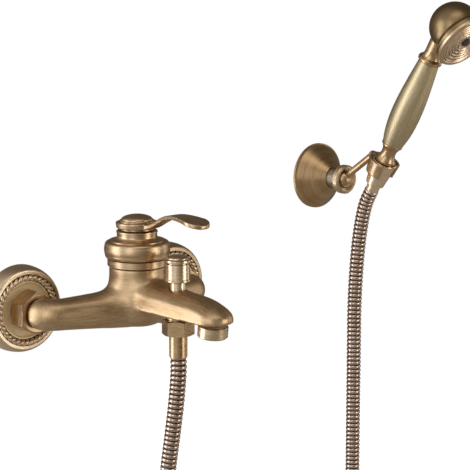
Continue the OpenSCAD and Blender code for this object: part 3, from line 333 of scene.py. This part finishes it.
# painted highlight: the rope's tones are paler than the other brass, to give its strands the brightness of
# highlights
ropeTones = tones((0.84, 0.67, 0.47), (0.66, 0.48, 0.29))
ropeLook = {"roughness": 0.28, "hollow": 0.0022, "bump": 0.06, **ropeTones}
smallTones = tones((0.56, 0.39, 0.222), (0.44, 0.28, 0.132))
smallLook = {"roughness": 0.28, "fine": 1500.0, "bump": 0.02, **smallTones}
handsetLook = dict(smallLook, hollow=0.002)
knobLook = dict(smallLook, bump=0.008, **tones((0.76, 0.59, 0.39), (0.66, 0.49, 0.305)))
# painted light: the cone nut and sleeve get paler tones than the handset, for light that does not reach
# them
coneLook = dict(knobLook, hollow=0.0012, **tones((0.86, 0.68, 0.47), (0.72, 0.53, 0.34)))
roseLook = tones((0.56, 0.39, 0.215), (0.36, 0.210, 0.09))
# painted light: the ring nut's tones are paler than the rose's, to lighten its shaded recess
ringLook = {"hollow": 0.0012, **tones((0.74, 0.57, 0.38), (0.54, 0.37, 0.21))}
headLook = tones((0.31, 0.22, 0.115), (0.21, 0.13, 0.056))
faceLook = {"hollow": 0.0024, "bump": 0.06, **tones((0.93, 0.73, 0.52), (0.72, 0.51, 0.33))}
bezelLook = {"hollow": 0.0016, "bump": 0.06, **tones((0.68, 0.51, 0.33), (0.52, 0.35, 0.19))}
gripLook = {"roughness": 0.42, **tones((0.60, 0.49, 0.30), (0.46, 0.36, 0.20))}
hoseLook = {"roughness": 0.24, "hollow": 0.0015, **tones((0.61, 0.48, 0.39), (0.44, 0.325, 0.245))}

# a brush pattern is centred on the axis that its piece was turned or drawn on, apart from the hose's
barrelBrass = brushedBrass("barrelBrass", (0, barrelY, 0))
hotBrass = brushedBrass("hotBrass", hotInlet, fromWall, **unionLook)
coldBrass = brushedBrass("coldBrass", coldInlet, fromWall, **unionLook)
hotRope = brushedBrass("hotRope", hotInlet, fromWall, **ropeLook)
coldRope = brushedBrass("coldRope", coldInlet, fromWall, **ropeLook)
hotRosette = brushedBrass("hotRosette", hotInlet, fromWall, **rosetteLook)
coldRosette = brushedBrass("coldRosette", coldInlet, fromWall, **shadedColdRosetteLook)
diverterBrass = brushedBrass("diverterBrass", (0, diverterY, 0), **knobLook)
nutBrass = brushedBrass("nutBrass", (0, diverterY, 0), **smallLook)
outletBrass = brushedBrass("outletBrass", outletPlace, **knobLook)
roseBrass = brushedBrass("roseBrass", bracketPlace, fromWall, **roseLook)
ringBrass = brushedBrass("ringBrass", bracketPlace, fromWall, **ringLook)
handsetBrass = brushedBrass("handsetBrass", handsetFoot, handsetUp, **handsetLook)
coneBrass = brushedBrass("coneBrass", handsetFoot, handsetUp, **coneLook)
headBrass = brushedBrass("headBrass", headCentre, sprayWay, **headLook)
faceBrass = brushedBrass("faceBrass", faceCentre, faceWay, **faceLook)
bezelBrass = brushedBrass("bezelBrass", faceCentre, faceWay, **bezelLook)
gripBrass = brushedBrass("gripBrass", handsetFoot, handsetUp, drawn=True, **gripLook)
armBrass = brushedBrass("armBrass", armPlace, armWay, drawn=True)
leverBrass = brushedBrass("leverBrass", leverPlace, leverWay, drawn=True)
castBrass = castingBrass("castBrass", castingLook)
hoseBrass = brushedBrass("hoseBrass", **hoseLook)
hoseCore = plainFinish("hoseCore", (0.07, 0.045, 0.03), roughness=0.5, metallic=1.0)
socketSteel = plainFinish("socketSteel", (0.40, 0.335, 0.25), roughness=0.38, metallic=1.0)
plainSteel = plainFinish("plainSteel", (0.58, 0.57, 0.55), roughness=0.33, metallic=1.0)
blackRubber = plainFinish("blackRubber", (0.03, 0.028, 0.025), roughness=0.6)
paleNylon = plainFinish("paleNylon", (0.74, 0.72, 0.67), roughness=0.45)
brownFibre = plainFinish("brownFibre", (0.30, 0.22, 0.14), roughness=0.8)

finishes = {
    hotBrass: ["inlet_union_hot", "tailpiece_hot", "union_nut_hot"],
    coldBrass: ["inlet_union_cold", "tailpiece_cold", "union_nut_cold"],
    hotRope: ["rope_ring_hot"],
    coldRope: ["rope_ring_cold"],
    hotRosette: ["rosette_hot"],
    coldRosette: ["rosette_cold"],
    castBrass: ["mixer_body"],
    barrelBrass: ["cartridge_nut", "bell_cover", "dome_cap"],
    leverBrass: ["lever_handle"],
    diverterBrass: ["diverter_bush", "diverter_knob"],
    nutBrass: ["shower_nipple", "hose_nut", "hose_sleeve"],
    outletBrass: ["aerator_ring"],
    roseBrass: ["bracket_rose"],
    ringBrass: ["ring_nut"],
    armBrass: ["bracket_arm"],
    coneBrass: ["cone_nut", "cone_sleeve"],
    handsetBrass: ["handset_base", "handset_neck"],
    gripBrass: ["handset_grip"],
    headBrass: ["head_shell"],
    faceBrass: ["spray_plate"],
    bezelBrass: ["spray_bezel"],
    hoseBrass: ["hose_lower", "hose_upper"],
    socketSteel: ["bracket_socket"],
    plainSteel: ["stem_pin", "cartridge_stem", "handle_screw", "diverter_stem", "bracket_plate"],
    blackRubber: ["cartridge_seal", "diverter_seal", "aerator_gasket", "hose_washer", "cone_washer",
                  "plate_screw"],
    paleNylon: ["cartridge_body", "cartridge_rotor", "diverter_valve", "aerator_insert"],
    brownFibre: ["union_washer_hot", "union_washer_cold"],
}
for material, names in finishes.items():
    for name in names:
        giveFinish(nodes[name].data, material)
print("finishes on", sum(len(names) for names in finishes.values()), "nodes")


# camera, light and floor

cameraSpec = {
    "azimuth": -42.0,
    "elevation": 10.0,
    "fov": 16.0,
    "distance": 1.473,
    "target": (0.1565, 0.0, 0.0312),
    "sensor": 36.0,
    "clip": (0.05, 50),
}


def makeCamera(spec):
    azimuth, elevation = math.radians(spec["azimuth"]), math.radians(spec["elevation"])
    level = math.cos(elevation)
    back = Vector((math.sin(azimuth) * level, -math.cos(azimuth) * level, math.sin(elevation)))
    data = bpy.data.cameras.new("camera")
    data.sensor_fit = "HORIZONTAL"
    data.sensor_width = spec["sensor"]
    data.lens = spec["sensor"] / 2 / math.tan(math.radians(spec["fov"]) / 2)
    data.clip_start, data.clip_end = spec["clip"]
    camera = bpy.data.objects.new("camera", data)
    camera.location = Vector(spec["target"]) + back * spec["distance"]
    camera.rotation_euler = (-back).to_track_quat("-Z", "Y").to_euler()
    scene.collection.objects.link(camera)
    scene.camera = camera


makeCamera(cameraSpec)

coolWhite, plainWhite = (0.92, 1.0, 1.14), (1, 1, 1)
lampSpecs = [  # name, place, target, size, power, colour
    ("leftSoftbox", (-1.22, 0.62, 0.12), (0.05, -0.06, 0.03), (0.7, 1.5), 9.5, coolWhite),
    ("frontSoftbox", (-1.25, -0.62, 0.45), (0.12, -0.06, 0.03), (0.5, 1.2), 3.3, coolWhite),
    ("rightSoftbox", (0.70, -1.41, 0.08), (0.05, -0.06, 0.03), (0.65, 1.0), 7.0, plainWhite),
    ("lowSoftbox", (-0.60, 0.56, -0.40), (0.0, -0.10, 0.0), (0.45, 0.22), 1.6, coolWhite),
    ("rimSoftbox", (1.35, -0.45, 0.15), (0.12, -0.06, 0.03), (0.5, 1.2), 2.0, plainWhite),
    ("topSoftbox", (-0.15, -0.65, 1.30), (0.10, -0.06, 0.0), (1.0, 0.5), 2.3, plainWhite),
]


def makeLamp(name, place, target, size, power, colour):
    data = bpy.data.lights.new(name, "AREA")
    data.shape = "RECTANGLE"
    data.size, data.size_y = size
    data.energy = power
    data.color = colour
    lamp = bpy.data.objects.new(name, data)
    lamp.location = place
    lamp.rotation_euler = (Vector(target) - Vector(place)).to_track_quat("-Z", "Y").to_euler()
    scene.collection.objects.link(lamp)


for spec in lampSpecs:
    makeLamp(*spec)

worldLook = {
    "brightWay": (-0.97, 0.05, 0.20),  # towards the pale side of the room
    "dimAt": -0.1,  # share of that direction at which the room is at its low strength
    "brightAt": 1.0,
    "whiteAt": 0.9,
    "low": 0.13,
    "high": 0.68,
    "plain": 0.44,  # what matt surfaces get
    "warm": (1.0, 0.86, 0.70, 1),
    "white": (1, 1, 1, 1),
}


def makeWorld(look):  # white to the camera, and to the metal a room with one pale side
    world = bpy.data.worlds.new("studio")
    world.use_nodes = True
    world.node_tree.nodes.clear()
    tree = Tree(world.node_tree)
    rays = tree.add("ShaderNodeLightPath").outputs
    way = tree.add("ShaderNodeTexCoord").outputs["Generated"]
    towards = tree.add("ShaderNodeVectorMath", {0: way, 1: look["brightWay"]}, operation="DOT_PRODUCT")
    facing = towards.outputs["Value"]
    room = tree.spread(facing, look["dimAt"], look["brightAt"], look["low"], look["high"], smooth=True)
    inMetal = tree.math("MULTIPLY", rays["Is Glossy Ray"], room)
    onMatt = tree.math("MULTIPLY", rays["Is Diffuse Ray"], look["plain"])
    seen = tree.math("MAXIMUM", rays["Is Camera Ray"], rays["Is Transmission Ray"])
    whiteness = tree.math("MAXIMUM", seen, tree.spread(facing, look["dimAt"], look["whiteAt"]))
    tint = tree.mix(whiteness, look["warm"], look["white"])
    strength = tree.math("ADD", seen, tree.math("ADD", inMetal, onMatt))
    light = tree.add("ShaderNodeBackground", {"Color": tint, "Strength": strength})
    out = tree.add("ShaderNodeOutputWorld")
    tree.put(out.inputs["Surface"], light)
    scene.world = world


makeWorld(worldLook)

floorSpec = {
    "drop": 0.02,  # below the lowest point of the hose
    "half": 1.5,
    "colour": (0.43, 0.417, 0.395, 1),
    "roughness": 0.9,
    "glow": 0.92,  # to the camera alone
}


def makeFloor(spec):
    mesh = bpy.data.meshes.new("floor")
    half, level = spec["half"], cadLow.z - spec["drop"]
    corners = [(-half, -half, level), (half, -half, level), (half, half, level), (-half, half, level)]
    mesh.from_pydata(corners, [], [(0, 1, 2, 3)])
    floor = bpy.data.objects.new("floor", mesh)
    scene.collection.objects.link(floor)
    material, tree, shader = newMaterial("paleFloor")
    shader.inputs["Base Color"].default_value = spec["colour"]
    shader.inputs["Roughness"].default_value = spec["roughness"]
    shader.inputs["Emission Color"].default_value = (1, 1, 1, 1)
    rays = tree.add("ShaderNodeLightPath").outputs
    glow = tree.math("MULTIPLY", rays["Is Camera Ray"], spec["glow"])
    tree.put(shader.inputs["Emission Strength"], glow)
    mesh.materials.append(material)


makeFloor(floorSpec)
scene.view_settings.view_transform = "Standard"
print("camera, lamps and floor set")


# softened copies of castings

weldDistance = 1e-6
softenStep = 0.5  # share of the way to the neighbours in one round
fillStep = 0.9
roundsPerNormal = 10  # rounds of filling before the normals are read again


def addPiece(name, data):
    piece = bpy.data.objects.new(name, data)
    scene.collection.objects.link(piece)
    return piece


def settle(piece, body, replaced):
    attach(piece, body)
    for node in replaced:
        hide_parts(node)


def voxelCopy(node, name, voxel):  # one even skin over a node's mesh
    mesh = nodes[node].data.copy()
    work = bmesh.new()
    work.from_mesh(mesh)
    bmesh.ops.remove_doubles(work, verts=work.verts, dist=weldDistance)
    bmesh.ops.recalc_face_normals(work, faces=work.faces)
    work.to_mesh(mesh)
    work.free()
    holder = addPiece(name, mesh)
    remesh = holder.modifiers.new("voxels", "REMESH")
    remesh.mode = "VOXEL"
    remesh.voxel_size = voxel
    bpy.context.view_layer.update()
    ready = holder.evaluated_get(bpy.context.evaluated_depsgraph_get())
    fresh = bpy.data.meshes.new_from_object(ready)
    fresh.name = name
    bpy.data.objects.remove(holder)
    return addPiece(name, fresh)


def smoothFaces(mesh):
    mesh.polygons.foreach_set("use_smooth", [True] * len(mesh.polygons))


def readPoints(mesh):
    points = numpy.empty(len(mesh.vertices) * 3)
    mesh.vertices.foreach_get("co", points)
    return points.reshape(-1, 3)


def writePoints(mesh, points):
    mesh.vertices.foreach_set("co", points.ravel())
    smoothFaces(mesh)
    mesh.update()


def readNormals(mesh):
    normals = numpy.empty(len(mesh.vertices) * 3)
    mesh.vertex_normals.foreach_get("vector", normals)
    return normals.reshape(-1, 3)


def neighbourMean(mesh):  # gives the function that averages each point's neighbours
    count = len(mesh.vertices)
    ends = numpy.empty(len(mesh.edges) * 2, dtype=int)
    mesh.edges.foreach_get("vertices", ends)
    a, b = ends.reshape(-1, 2).T
    near = numpy.bincount(a, minlength=count) + numpy.bincount(b, minlength=count)

    def sumAlong(values):
        return numpy.bincount(a, values[b], count) + numpy.bincount(b, values[a], count)

    def mean(points):
        return numpy.stack([sumAlong(values) for values in points.T], 1) / near[:, None]

    return mean


def soften(mesh, rounds, weight):  # pulls each point towards its neighbours, as far as its weight lets it
    points = readPoints(mesh)
    mean = neighbourMean(mesh)
    share = softenStep * weight(points)[:, None]
    for _ in range(rounds):
        points += share * (mean(points) - points)
    writePoints(mesh, points)


def fillHollows(mesh, rounds, weight):  # grows fillets: points in a hollow move out, and ridges stay sharp
    points = readPoints(mesh)
    mean = neighbourMean(mesh)
    share = fillStep * weight(points)
    for step in range(rounds):
        if step % roundsPerNormal == 0:
            writePoints(mesh, points)
            normals = readNormals(mesh)
        out = ((mean(points) - points) * normals).sum(1)
        points += (share * numpy.clip(out, 0, None))[:, None] * normals
    writePoints(mesh, points)


def reachFrom(points, centreY):  # distance from an upright axis in the mixer's middle plane
    return numpy.hypot(points[:, 0], points[:, 1] - centreY)


def hollowOut(mesh, centreY, reach, low, high, room):  # widens a hidden cavity, to keep running room
    points, normals = readPoints(mesh), readNormals(mesh)
    between = (points[:, 2] > low) & (points[:, 2] < high)
    inside = between & (reachFrom(points, centreY) < reach)
    points[inside] -= room * normals[inside]
    writePoints(mesh, points)


def ramp(values, start, full):  # 0 up to the start, and 1 from where it is full
    return numpy.clip((values - start) / (full - start), 0, 1)


def evenly(points):
    return numpy.ones(len(points))


castingSpec = {
    "voxel": 0.001,
    "filletRounds": 140,
    "blendRounds": 6,
    "armRounds": 60,
    "tipRounds": 8,
    "skinRounds": 8,
    "tipSwell": 0.0024,
    "boreKeep": 0.0095,  # reach of the diverter's bore, which keeps its size
    "chamberReach": 0.0092,  # room round the diverter's valve
    "chamberLow": 0.006,
    "chamberHigh": 0.0175,
    "chamberRoom": 0.0009,
    # where each weight starts and where it is full
    "fillet": (0.048, 0.036),  # distance from the barrel's axis
    "belowRim": (0.0265, 0.0225),
    "armAside": (0.024, 0.036),
    "armOut": (-0.024, -0.034),
    "tipAhead": (outletY + 0.006, outletY - 0.002),
    "tipAbove": (0.003, 0.006),
    "tipBefore": (outletY - 0.0112, outletY - 0.0127),
    "swell": (diverterY - 0.008, outletY - 0.021),
}


def outerSkin(points):  # all but the diverter's bore
    return (reachFrom(points, diverterY) > castingSpec["boreKeep"]) * 1.0


def nearBarrel(points):  # full at the barrel's foot, where arms and spout run into it
    inside = ramp(reachFrom(points, barrelY), *castingSpec["fillet"])
    return inside * ramp(points[:, 2], *castingSpec["belowRim"]) * outerSkin(points)


def onArms(points):  # full on the arms and elbows, nothing near the union nuts or the spout
    aside = ramp(numpy.abs(points[:, 0]), *castingSpec["armAside"])
    return aside * ramp(points[:, 1], *castingSpec["armOut"])


def onTip(points):  # the spout's end, but not the outlet's spigot
    aboveOutlet = ramp(points[:, 2], *castingSpec["tipAbove"])
    beforeOutlet = ramp(points[:, 1], *castingSpec["tipBefore"])
    return ramp(points[:, 1], *castingSpec["tipAhead"]) * numpy.maximum(aboveOutlet, beforeOutlet)


def swellTip(mesh, spec):  # rounds the top of the spout between the diverter and its end
    points, normals = readPoints(mesh), readNormals(mesh)
    along = ramp(points[:, 1], *spec["swell"])
    upward = numpy.clip(normals[:, 2], 0, 1) * (points[:, 2] > 0)
    points[:, 2] += spec["tipSwell"] * numpy.sin(math.pi * along) ** 2 * upward
    writePoints(mesh, points)


casting = voxelCopy("mixer_body", "casting", castingSpec["voxel"])
hollowOut(casting.data, diverterY, castingSpec["chamberReach"], castingSpec["chamberLow"],
          castingSpec["chamberHigh"], castingSpec["chamberRoom"])
fillHollows(casting.data, castingSpec["filletRounds"], nearBarrel)
soften(casting.data, castingSpec["blendRounds"], nearBarrel)
swellTip(casting.data, castingSpec)
soften(casting.data, castingSpec["armRounds"], onArms)
soften(casting.data, castingSpec["tipRounds"], onTip)
soften(casting.data, castingSpec["skinRounds"], outerSkin)
giveFinish(casting.data, castBrass)
settle(casting, "mixer", ["mixer_body"])

leverSpec = {
    "voxel": 0.00042,
    "rounds": 10,
    "blade": (0.0165, 0.0205),  # distance from the hub's axis where softening starts and is full
    "boreReach": 0.0155,  # room in the hub, from its lower face
    "boreBelow": 0.001,
    "boreAbove": 0.0035,
    "boreRoom": 0.0004,
}


def onBlade(points):  # the hub keeps its edges and its bore
    return ramp(reachFrom(points, barrelY), *leverSpec["blade"])


lever = voxelCopy("lever_handle", "lever", leverSpec["voxel"])
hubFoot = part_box("lever_handle")[0].z
hollowOut(lever.data, barrelY, leverSpec["boreReach"], hubFoot - leverSpec["boreBelow"],
          hubFoot + leverSpec["boreAbove"], leverSpec["boreRoom"])
soften(lever.data, leverSpec["rounds"], onBlade)
giveFinish(lever.data, leverBrass)
settle(lever, "lever", ["lever_handle"])

holderSpec = {"voxel": 0.00045, "rounds": 6}
holder = voxelCopy("bracket_arm", "holder", holderSpec["voxel"])
soften(holder.data, holderSpec["rounds"], evenly)
giveFinish(holder.data, armBrass)
settle(holder, "holder", ["bracket_arm"])
print("softened", [len(piece.data.polygons) for piece in (casting, lever, holder)])


# node trees that repeat a shape

def newTree(name, inputs):
    group = bpy.data.node_groups.new(name, "GeometryNodeTree")
    for label, kind, value in inputs:
        socket = group.interface.new_socket(name=label, in_out="INPUT", socket_type="NodeSocket" + kind)
        if value is not None:
            socket.default_value = value
    group.interface.new_socket(name="Piece", in_out="OUTPUT", socket_type="NodeSocketGeometry")
    tree = Tree(group)
    return tree, tree.add("NodeGroupInput").outputs


def joined(tree, parts):
    join = tree.add("GeometryNodeJoinGeometry")
    for part in parts:
        tree.put(join.inputs[0], part)
    return join


def finished(tree, part, finish):  # makes instances real and gives them their finish
    real = tree.add("GeometryNodeRealizeInstances", {"Geometry": part})
    return tree.add("GeometryNodeSetMaterial", {"Geometry": real, "Material": finish})


def endTree(tree, piece):
    tree.put(tree.add("NodeGroupOutput").inputs[0], piece)
    return tree.tree


def applyTree(holder, group, name, inputs):
    modifier = holder.modifiers.new(name, "NODES")
    modifier.node_group = group
    for item in group.interface.items_tree:
        if item.in_out == "INPUT" and item.name in inputs:
            modifier[item.identifier] = inputs[item.name]
    holder.update_tag()
    bpy.context.view_layer.update()
    graph = bpy.context.evaluated_depsgraph_get()
    mesh = bpy.data.meshes.new_from_object(holder.evaluated_get(graph), depsgraph=graph)
    mesh.name = name
    smoothFaces(mesh)
    bpy.data.objects.remove(holder)
    return addPiece(name, mesh)


def emptyHolder(name):
    return addPiece(name, bpy.data.meshes.new(name))


def latheMesh(name, section, sides, closed=False):  # turns a section round the Z axis
    mesh = bpy.data.meshes.new(name)
    verts, faces = [], []
    count = len(section)
    for i in range(sides):
        turn = 2 * math.pi * i / sides
        verts += [(r * math.cos(turn), r * math.sin(turn), z) for r, z in section]
    for i in range(sides):
        k = (i + 1) % sides
        for j in range(count if closed else count - 1):
            m = (j + 1) % count
            faces.append((i * count + j, k * count + j, k * count + m, i * count + m))
    mesh.from_pydata(verts, [], faces)
    smoothFaces(mesh)
    return mesh


# rope rings: two strands wound round each other

ropeSpec = {
    "ringRadius": 0.026,
    "turns": 18,
    "strandOffset": 0.00118,
    "strandRadius": 0.00152,
    "ringPoints": 360,
    "strandSides": 12,
    "out": 0.01257,  # from the wall
}


def ropeTree(spec):
    tree, given = newTree("ropeRing", [
        ("Ring radius", "Float", spec["ringRadius"]),
        ("Turns", "Float", spec["turns"]),
        ("Strand offset", "Float", spec["strandOffset"]),
        ("Strand radius", "Float", spec["strandRadius"]),
        ("Finish", "Material", None)])
    circle = "GeometryNodeCurvePrimitiveCircle"
    ring = tree.add(circle, {"Resolution": spec["ringPoints"], "Radius": given["Ring radius"]})
    section = tree.add(circle, {"Resolution": spec["strandSides"], "Radius": given["Strand radius"]})
    position = tree.add("GeometryNodeInputPosition")
    outward = tree.add("ShaderNodeVectorMath", {0: position}, operation="NORMALIZE")
    along = tree.add("GeometryNodeSplineParameter").outputs["Factor"]
    turn = tree.math("MULTIPLY", tree.math("MULTIPLY", along, given["Turns"]), 2 * math.pi)
    strands = []
    for start in (0.0, math.pi):
        angle = tree.math("ADD", turn, start)
        acrossBy = tree.math("MULTIPLY", tree.math("COSINE", angle), given["Strand offset"])
        upBy = tree.math("MULTIPLY", tree.math("SINE", angle), given["Strand offset"])
        across = tree.add("ShaderNodeVectorMath", {0: outward, "Scale": acrossBy}, operation="SCALE")
        up = tree.add("ShaderNodeCombineXYZ", {2: upBy})
        shift = tree.add("ShaderNodeVectorMath", {0: across, 1: up}, operation="ADD")
        wound = tree.add("GeometryNodeSetPosition", {"Geometry": ring, "Offset": shift})
        strands.append(tree.add("GeometryNodeCurveToMesh", {"Curve": wound, "Profile Curve": section}))
    return endTree(tree, finished(tree, joined(tree, strands), given["Finish"]))


ropes = ropeTree(ropeSpec)
ropeTurn = Matrix.Rotation(math.pi / 2, 4, "X")  # lays the ring on the wall
for side, x, finish in (("hot", -inletX, hotRope), ("cold", inletX, coldRope)):
    rope = applyTree(emptyHolder("rope"), ropes, "rope" + side.title(), {"Finish": finish})
    rope.data.transform(Matrix.Translation((x, -ropeSpec["out"], 0)) @ ropeTurn)
    settle(rope, "mixer", ["rope_ring_" + side])
print("rope rings made")


# spray face: ridged plate with rings of nozzles

faceSpec = {
    "radius": 0.0217,
    "back": -0.003,
    "hole": 0.0016,
    "boss": 0.0048,
    "sides": 96,
    "out": 0.017,  # from the face's centre in the head to the plate's front
    "rings": 5,
    "firstRing": 0.0070,
    "ringPitch": 0.0031,
    "ringPoints": 96,
    "ridge": 0.0009,
    "ridgeFoot": 0.0005,  # half its width
    "ridgeTop": 0.0002,
    "nozzleSpacing": 0.0019,
    "nozzleRadius": 0.00052,
    "nozzleHeight": 0.0009,
    "nozzleSunk": 0.0002,
    "nozzleSides": 8,
    "nozzleShape": [(1, 0.6), (0.7, 1), (0.35, 1), (0.3, 0.4)],  # shares of radius and height
    "nozzlePole": 0.00001,
}


def faceSection(spec):  # a plate whose front has a ridge outside each ring of nozzles
    foot, top, ridge = spec["ridgeFoot"], spec["ridgeTop"], spec["ridge"]
    back = [(spec["hole"], spec["back"]), (spec["radius"], spec["back"])]
    front = [(spec["radius"], 0.0)]
    for i in reversed(range(spec["rings"])):
        mid = spec["firstRing"] + (i + 0.5) * spec["ringPitch"]
        front += [(mid + foot, 0.0), (mid + top, ridge), (mid - top, ridge), (mid - foot, 0.0)]
    return back + front + [(spec["boss"], 0.0), (spec["hole"], 0.0)]


def nozzleSection(spec):
    radius, height = spec["nozzleRadius"], spec["nozzleHeight"]
    wall = [(radius * across, height * up) for across, up in spec["nozzleShape"]]
    return [(radius, -spec["nozzleSunk"])] + wall + [(spec["nozzlePole"], wall[-1][1])]


def nozzleTree(spec):
    tree, given = newTree("sprayNozzles", [
        ("First ring", "Float", spec["firstRing"]),
        ("Ring pitch", "Float", spec["ringPitch"]),
        ("Nozzle spacing", "Float", spec["nozzleSpacing"]),
        ("Plate", "Object", None),
        ("Nozzle", "Object", None),
        ("Finish", "Material", None)])
    nozzle = tree.add("GeometryNodeObjectInfo", {"Object": given["Nozzle"]}).outputs["Geometry"]
    parts = [tree.add("GeometryNodeObjectInfo", {"Object": given["Plate"]}).outputs["Geometry"]]
    for i in range(spec["rings"]):
        radius = tree.math("MULTIPLY_ADD", given["Ring pitch"], float(i), given["First ring"])
        inputs = {"Resolution": spec["ringPoints"], "Radius": radius}
        ring = tree.add("GeometryNodeCurvePrimitiveCircle", inputs)
        spacing = {"Curve": ring, "Length": given["Nozzle spacing"]}
        spaced = tree.add("GeometryNodeResampleCurve", spacing, mode="LENGTH")
        parts.append(tree.add("GeometryNodeInstanceOnPoints", {"Points": spaced, "Instance": nozzle}))
    return endTree(tree, finished(tree, joined(tree, parts), given["Finish"]))


plateMesh = latheMesh("plateHolder", faceSection(faceSpec), faceSpec["sides"], closed=True)
plateHolder = addPiece("plateHolder", plateMesh)
nozzleMesh = latheMesh("nozzleHolder", nozzleSection(faceSpec), faceSpec["nozzleSides"])
nozzleHolder = addPiece("nozzleHolder", nozzleMesh)
sprayFace = applyTree(emptyHolder("sprayFace"), nozzleTree(faceSpec), "sprayFace",
                      {"Plate": plateHolder, "Nozzle": nozzleHolder, "Finish": faceBrass})
for used in (plateHolder, nozzleHolder):
    bpy.data.objects.remove(used)
faceTurn = frameAlong(faceWay).to_matrix().to_4x4()
sprayFace.data.transform(Matrix.Translation(faceCentre + faceSpec["out"] * faceWay) @ faceTurn)
settle(sprayFace, "handset", ["spray_plate"])
print("spray face", len(sprayFace.data.polygons), "faces")


# hose: ribs that follow the route

hoseSpec = {
    "diameter": 0.013,
    "coreRadius": 0.0052,
    "coreSides": 20,
    "ribPitch": 0.0039,
    "ribWidth": 0.0032,
    "ribSides": 28,
    "ribShoulder": 0.0006,  # drop from the rib's top to its sides
    "ribCrown": 0.0001,  # drop to the edge of its crown
    "crownShare": 0.45,
    "sleeveBelow": 0.008,  # from the cone nut's foot to the end of its sleeve
    "straight": 0.013,  # length that leaves the sleeve without a bend
    "step": 0.002,  # between points of the smooth route
}
lowerRoute = [
    (0, diverterY, -0.0326), (0, diverterY, -0.0456), (0, -0.105, -0.070), (0, -0.100, -0.098),
    (0, -0.094, -0.130), (0, -0.088, -0.175), (0, -0.083, -0.222), (0.002, -0.080, -0.272),
    (0.006, -0.077, -0.326), (0.016, -0.074, -0.386), (0.036, -0.070, -0.445), (0.066, -0.066, -0.490),
    (0.100, -0.062, -0.512), (0.130, -0.060, -0.518), (0.160, -0.058, -0.512), (0.194, -0.055, -0.490),
    (0.224, -0.053, -0.445), (0.243, -0.052, -0.386), (0.252, -0.051, -0.326), (0.256, -0.050, -0.272),
    (0.257, -0.050, -0.215), (0.257, -0.050, -0.150), (0.257, -0.050, -0.090), (0.257, -0.050, -0.060)]
sleeveEnd = handsetFoot - hoseSpec["sleeveBelow"] * handsetUp
belowSleeve = sleeveEnd - hoseSpec["straight"] * handsetUp
upperRoute = [
    (0.257, -0.050, -0.060), (0.257, -0.050, -0.046), (0.257, -0.0505, -0.028), (0.257, -0.052, -0.004),
    (0.257, -0.0545, 0.020), (0.257, -0.058, 0.040), tuple(belowSleeve), tuple(sleeveEnd)]


def smoothRoute(route, step):  # a curve through the route's points, as in the part's source
    points = [Vector(p) for p in route]
    ends = [2 * points[0] - points[1]] + points + [2 * points[-1] - points[-2]]
    dense = []
    for a, b, c, d in zip(ends, ends[1:], ends[2:], ends[3:]):
        bend = 2 * a - 5 * b + 4 * c - d
        sway = 3 * b - a - 3 * c + d
        count = max(2, round((c - b).length / step))
        for k in range(count):
            t = k / count
            dense.append(0.5 * (2 * b + (c - a) * t + bend * t * t + sway * t ** 3))
    return dense + [points[-1]]


def routeLength(points):
    return sum((b - a).length for a, b in zip(points, points[1:]))


def ribMesh(spec):  # one rib: a rounded band round the Z axis
    root, top, half = spec["coreRadius"], spec["diameter"] / 2, spec["ribWidth"] / 2
    shoulder, crown = top - spec["ribShoulder"], top - spec["ribCrown"]
    crownHalf = half * spec["crownShare"]
    section = [(root, -half), (shoulder, -half), (crown, -crownHalf), (top, 0),
               (crown, crownHalf), (shoulder, half), (root, half)]
    return latheMesh("hoseRib", section, spec["ribSides"])


def ribbedHoseTree(spec):
    tree, given = newTree("ribbedHose", [
        ("Route", "Geometry", None),
        ("Rib spacing", "Float", spec["ribPitch"]),
        ("Core radius", "Float", spec["coreRadius"]),
        ("Rib", "Object", None),
        ("Rib finish", "Material", None),
        ("Core finish", "Material", None)])
    spacing = {"Curve": given["Route"], "Length": given["Rib spacing"]}
    spaced = tree.add("GeometryNodeResampleCurve", spacing, mode="LENGTH")
    points = tree.add("GeometryNodeCurveToPoints", {"Curve": spaced}, mode="EVALUATED").outputs
    rib = tree.add("GeometryNodeObjectInfo", {"Object": given["Rib"]}).outputs["Geometry"]
    inputs = {"Points": points["Points"], "Instance": rib, "Rotation": points["Rotation"]}
    ribs = tree.add("GeometryNodeInstanceOnPoints", inputs)
    sides = {"Resolution": spec["coreSides"], "Radius": given["Core radius"]}
    section = tree.add("GeometryNodeCurvePrimitiveCircle", sides)
    core = tree.add("GeometryNodeCurveToMesh", {"Curve": given["Route"], "Profile Curve": section})
    ribsDone = finished(tree, ribs, given["Rib finish"])
    coreDone = finished(tree, core, given["Core finish"])
    return endTree(tree, joined(tree, [ribsDone, coreDone]))


def routeCurve(name, points):
    data = bpy.data.curves.new(name, "CURVE")
    data.dimensions = "3D"
    spline = data.splines.new("POLY")
    spline.points.add(len(points) - 1)
    for point, place in zip(spline.points, points):
        point.co = (*place, 1)
    return addPiece(name, data)


ribHolder = bpy.data.objects.new("hoseRib", ribMesh(hoseSpec))
hoseTree = ribbedHoseTree(hoseSpec)


def makeHose(name, route):
    points = smoothRoute(route, hoseSpec["step"])
    hose = applyTree(routeCurve(name + "Route", points), hoseTree, name,
                     {"Rib": ribHolder, "Rib finish": hoseBrass, "Core finish": hoseCore})
    print(name, "length", round(routeLength(points), 4), "faces", len(hose.data.polygons))
    return hose, points


lowerHose, lowerPoints = makeHose("lowerHose", lowerRoute)
upperHose, upperPoints = makeHose("upperHose", upperRoute)
bpy.data.objects.remove(ribHolder)
for hose, node in ((lowerHose, "hose_lower"), (upperHose, "hose_upper")):
    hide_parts(node)
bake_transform(lowerHose)
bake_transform(upperHose)
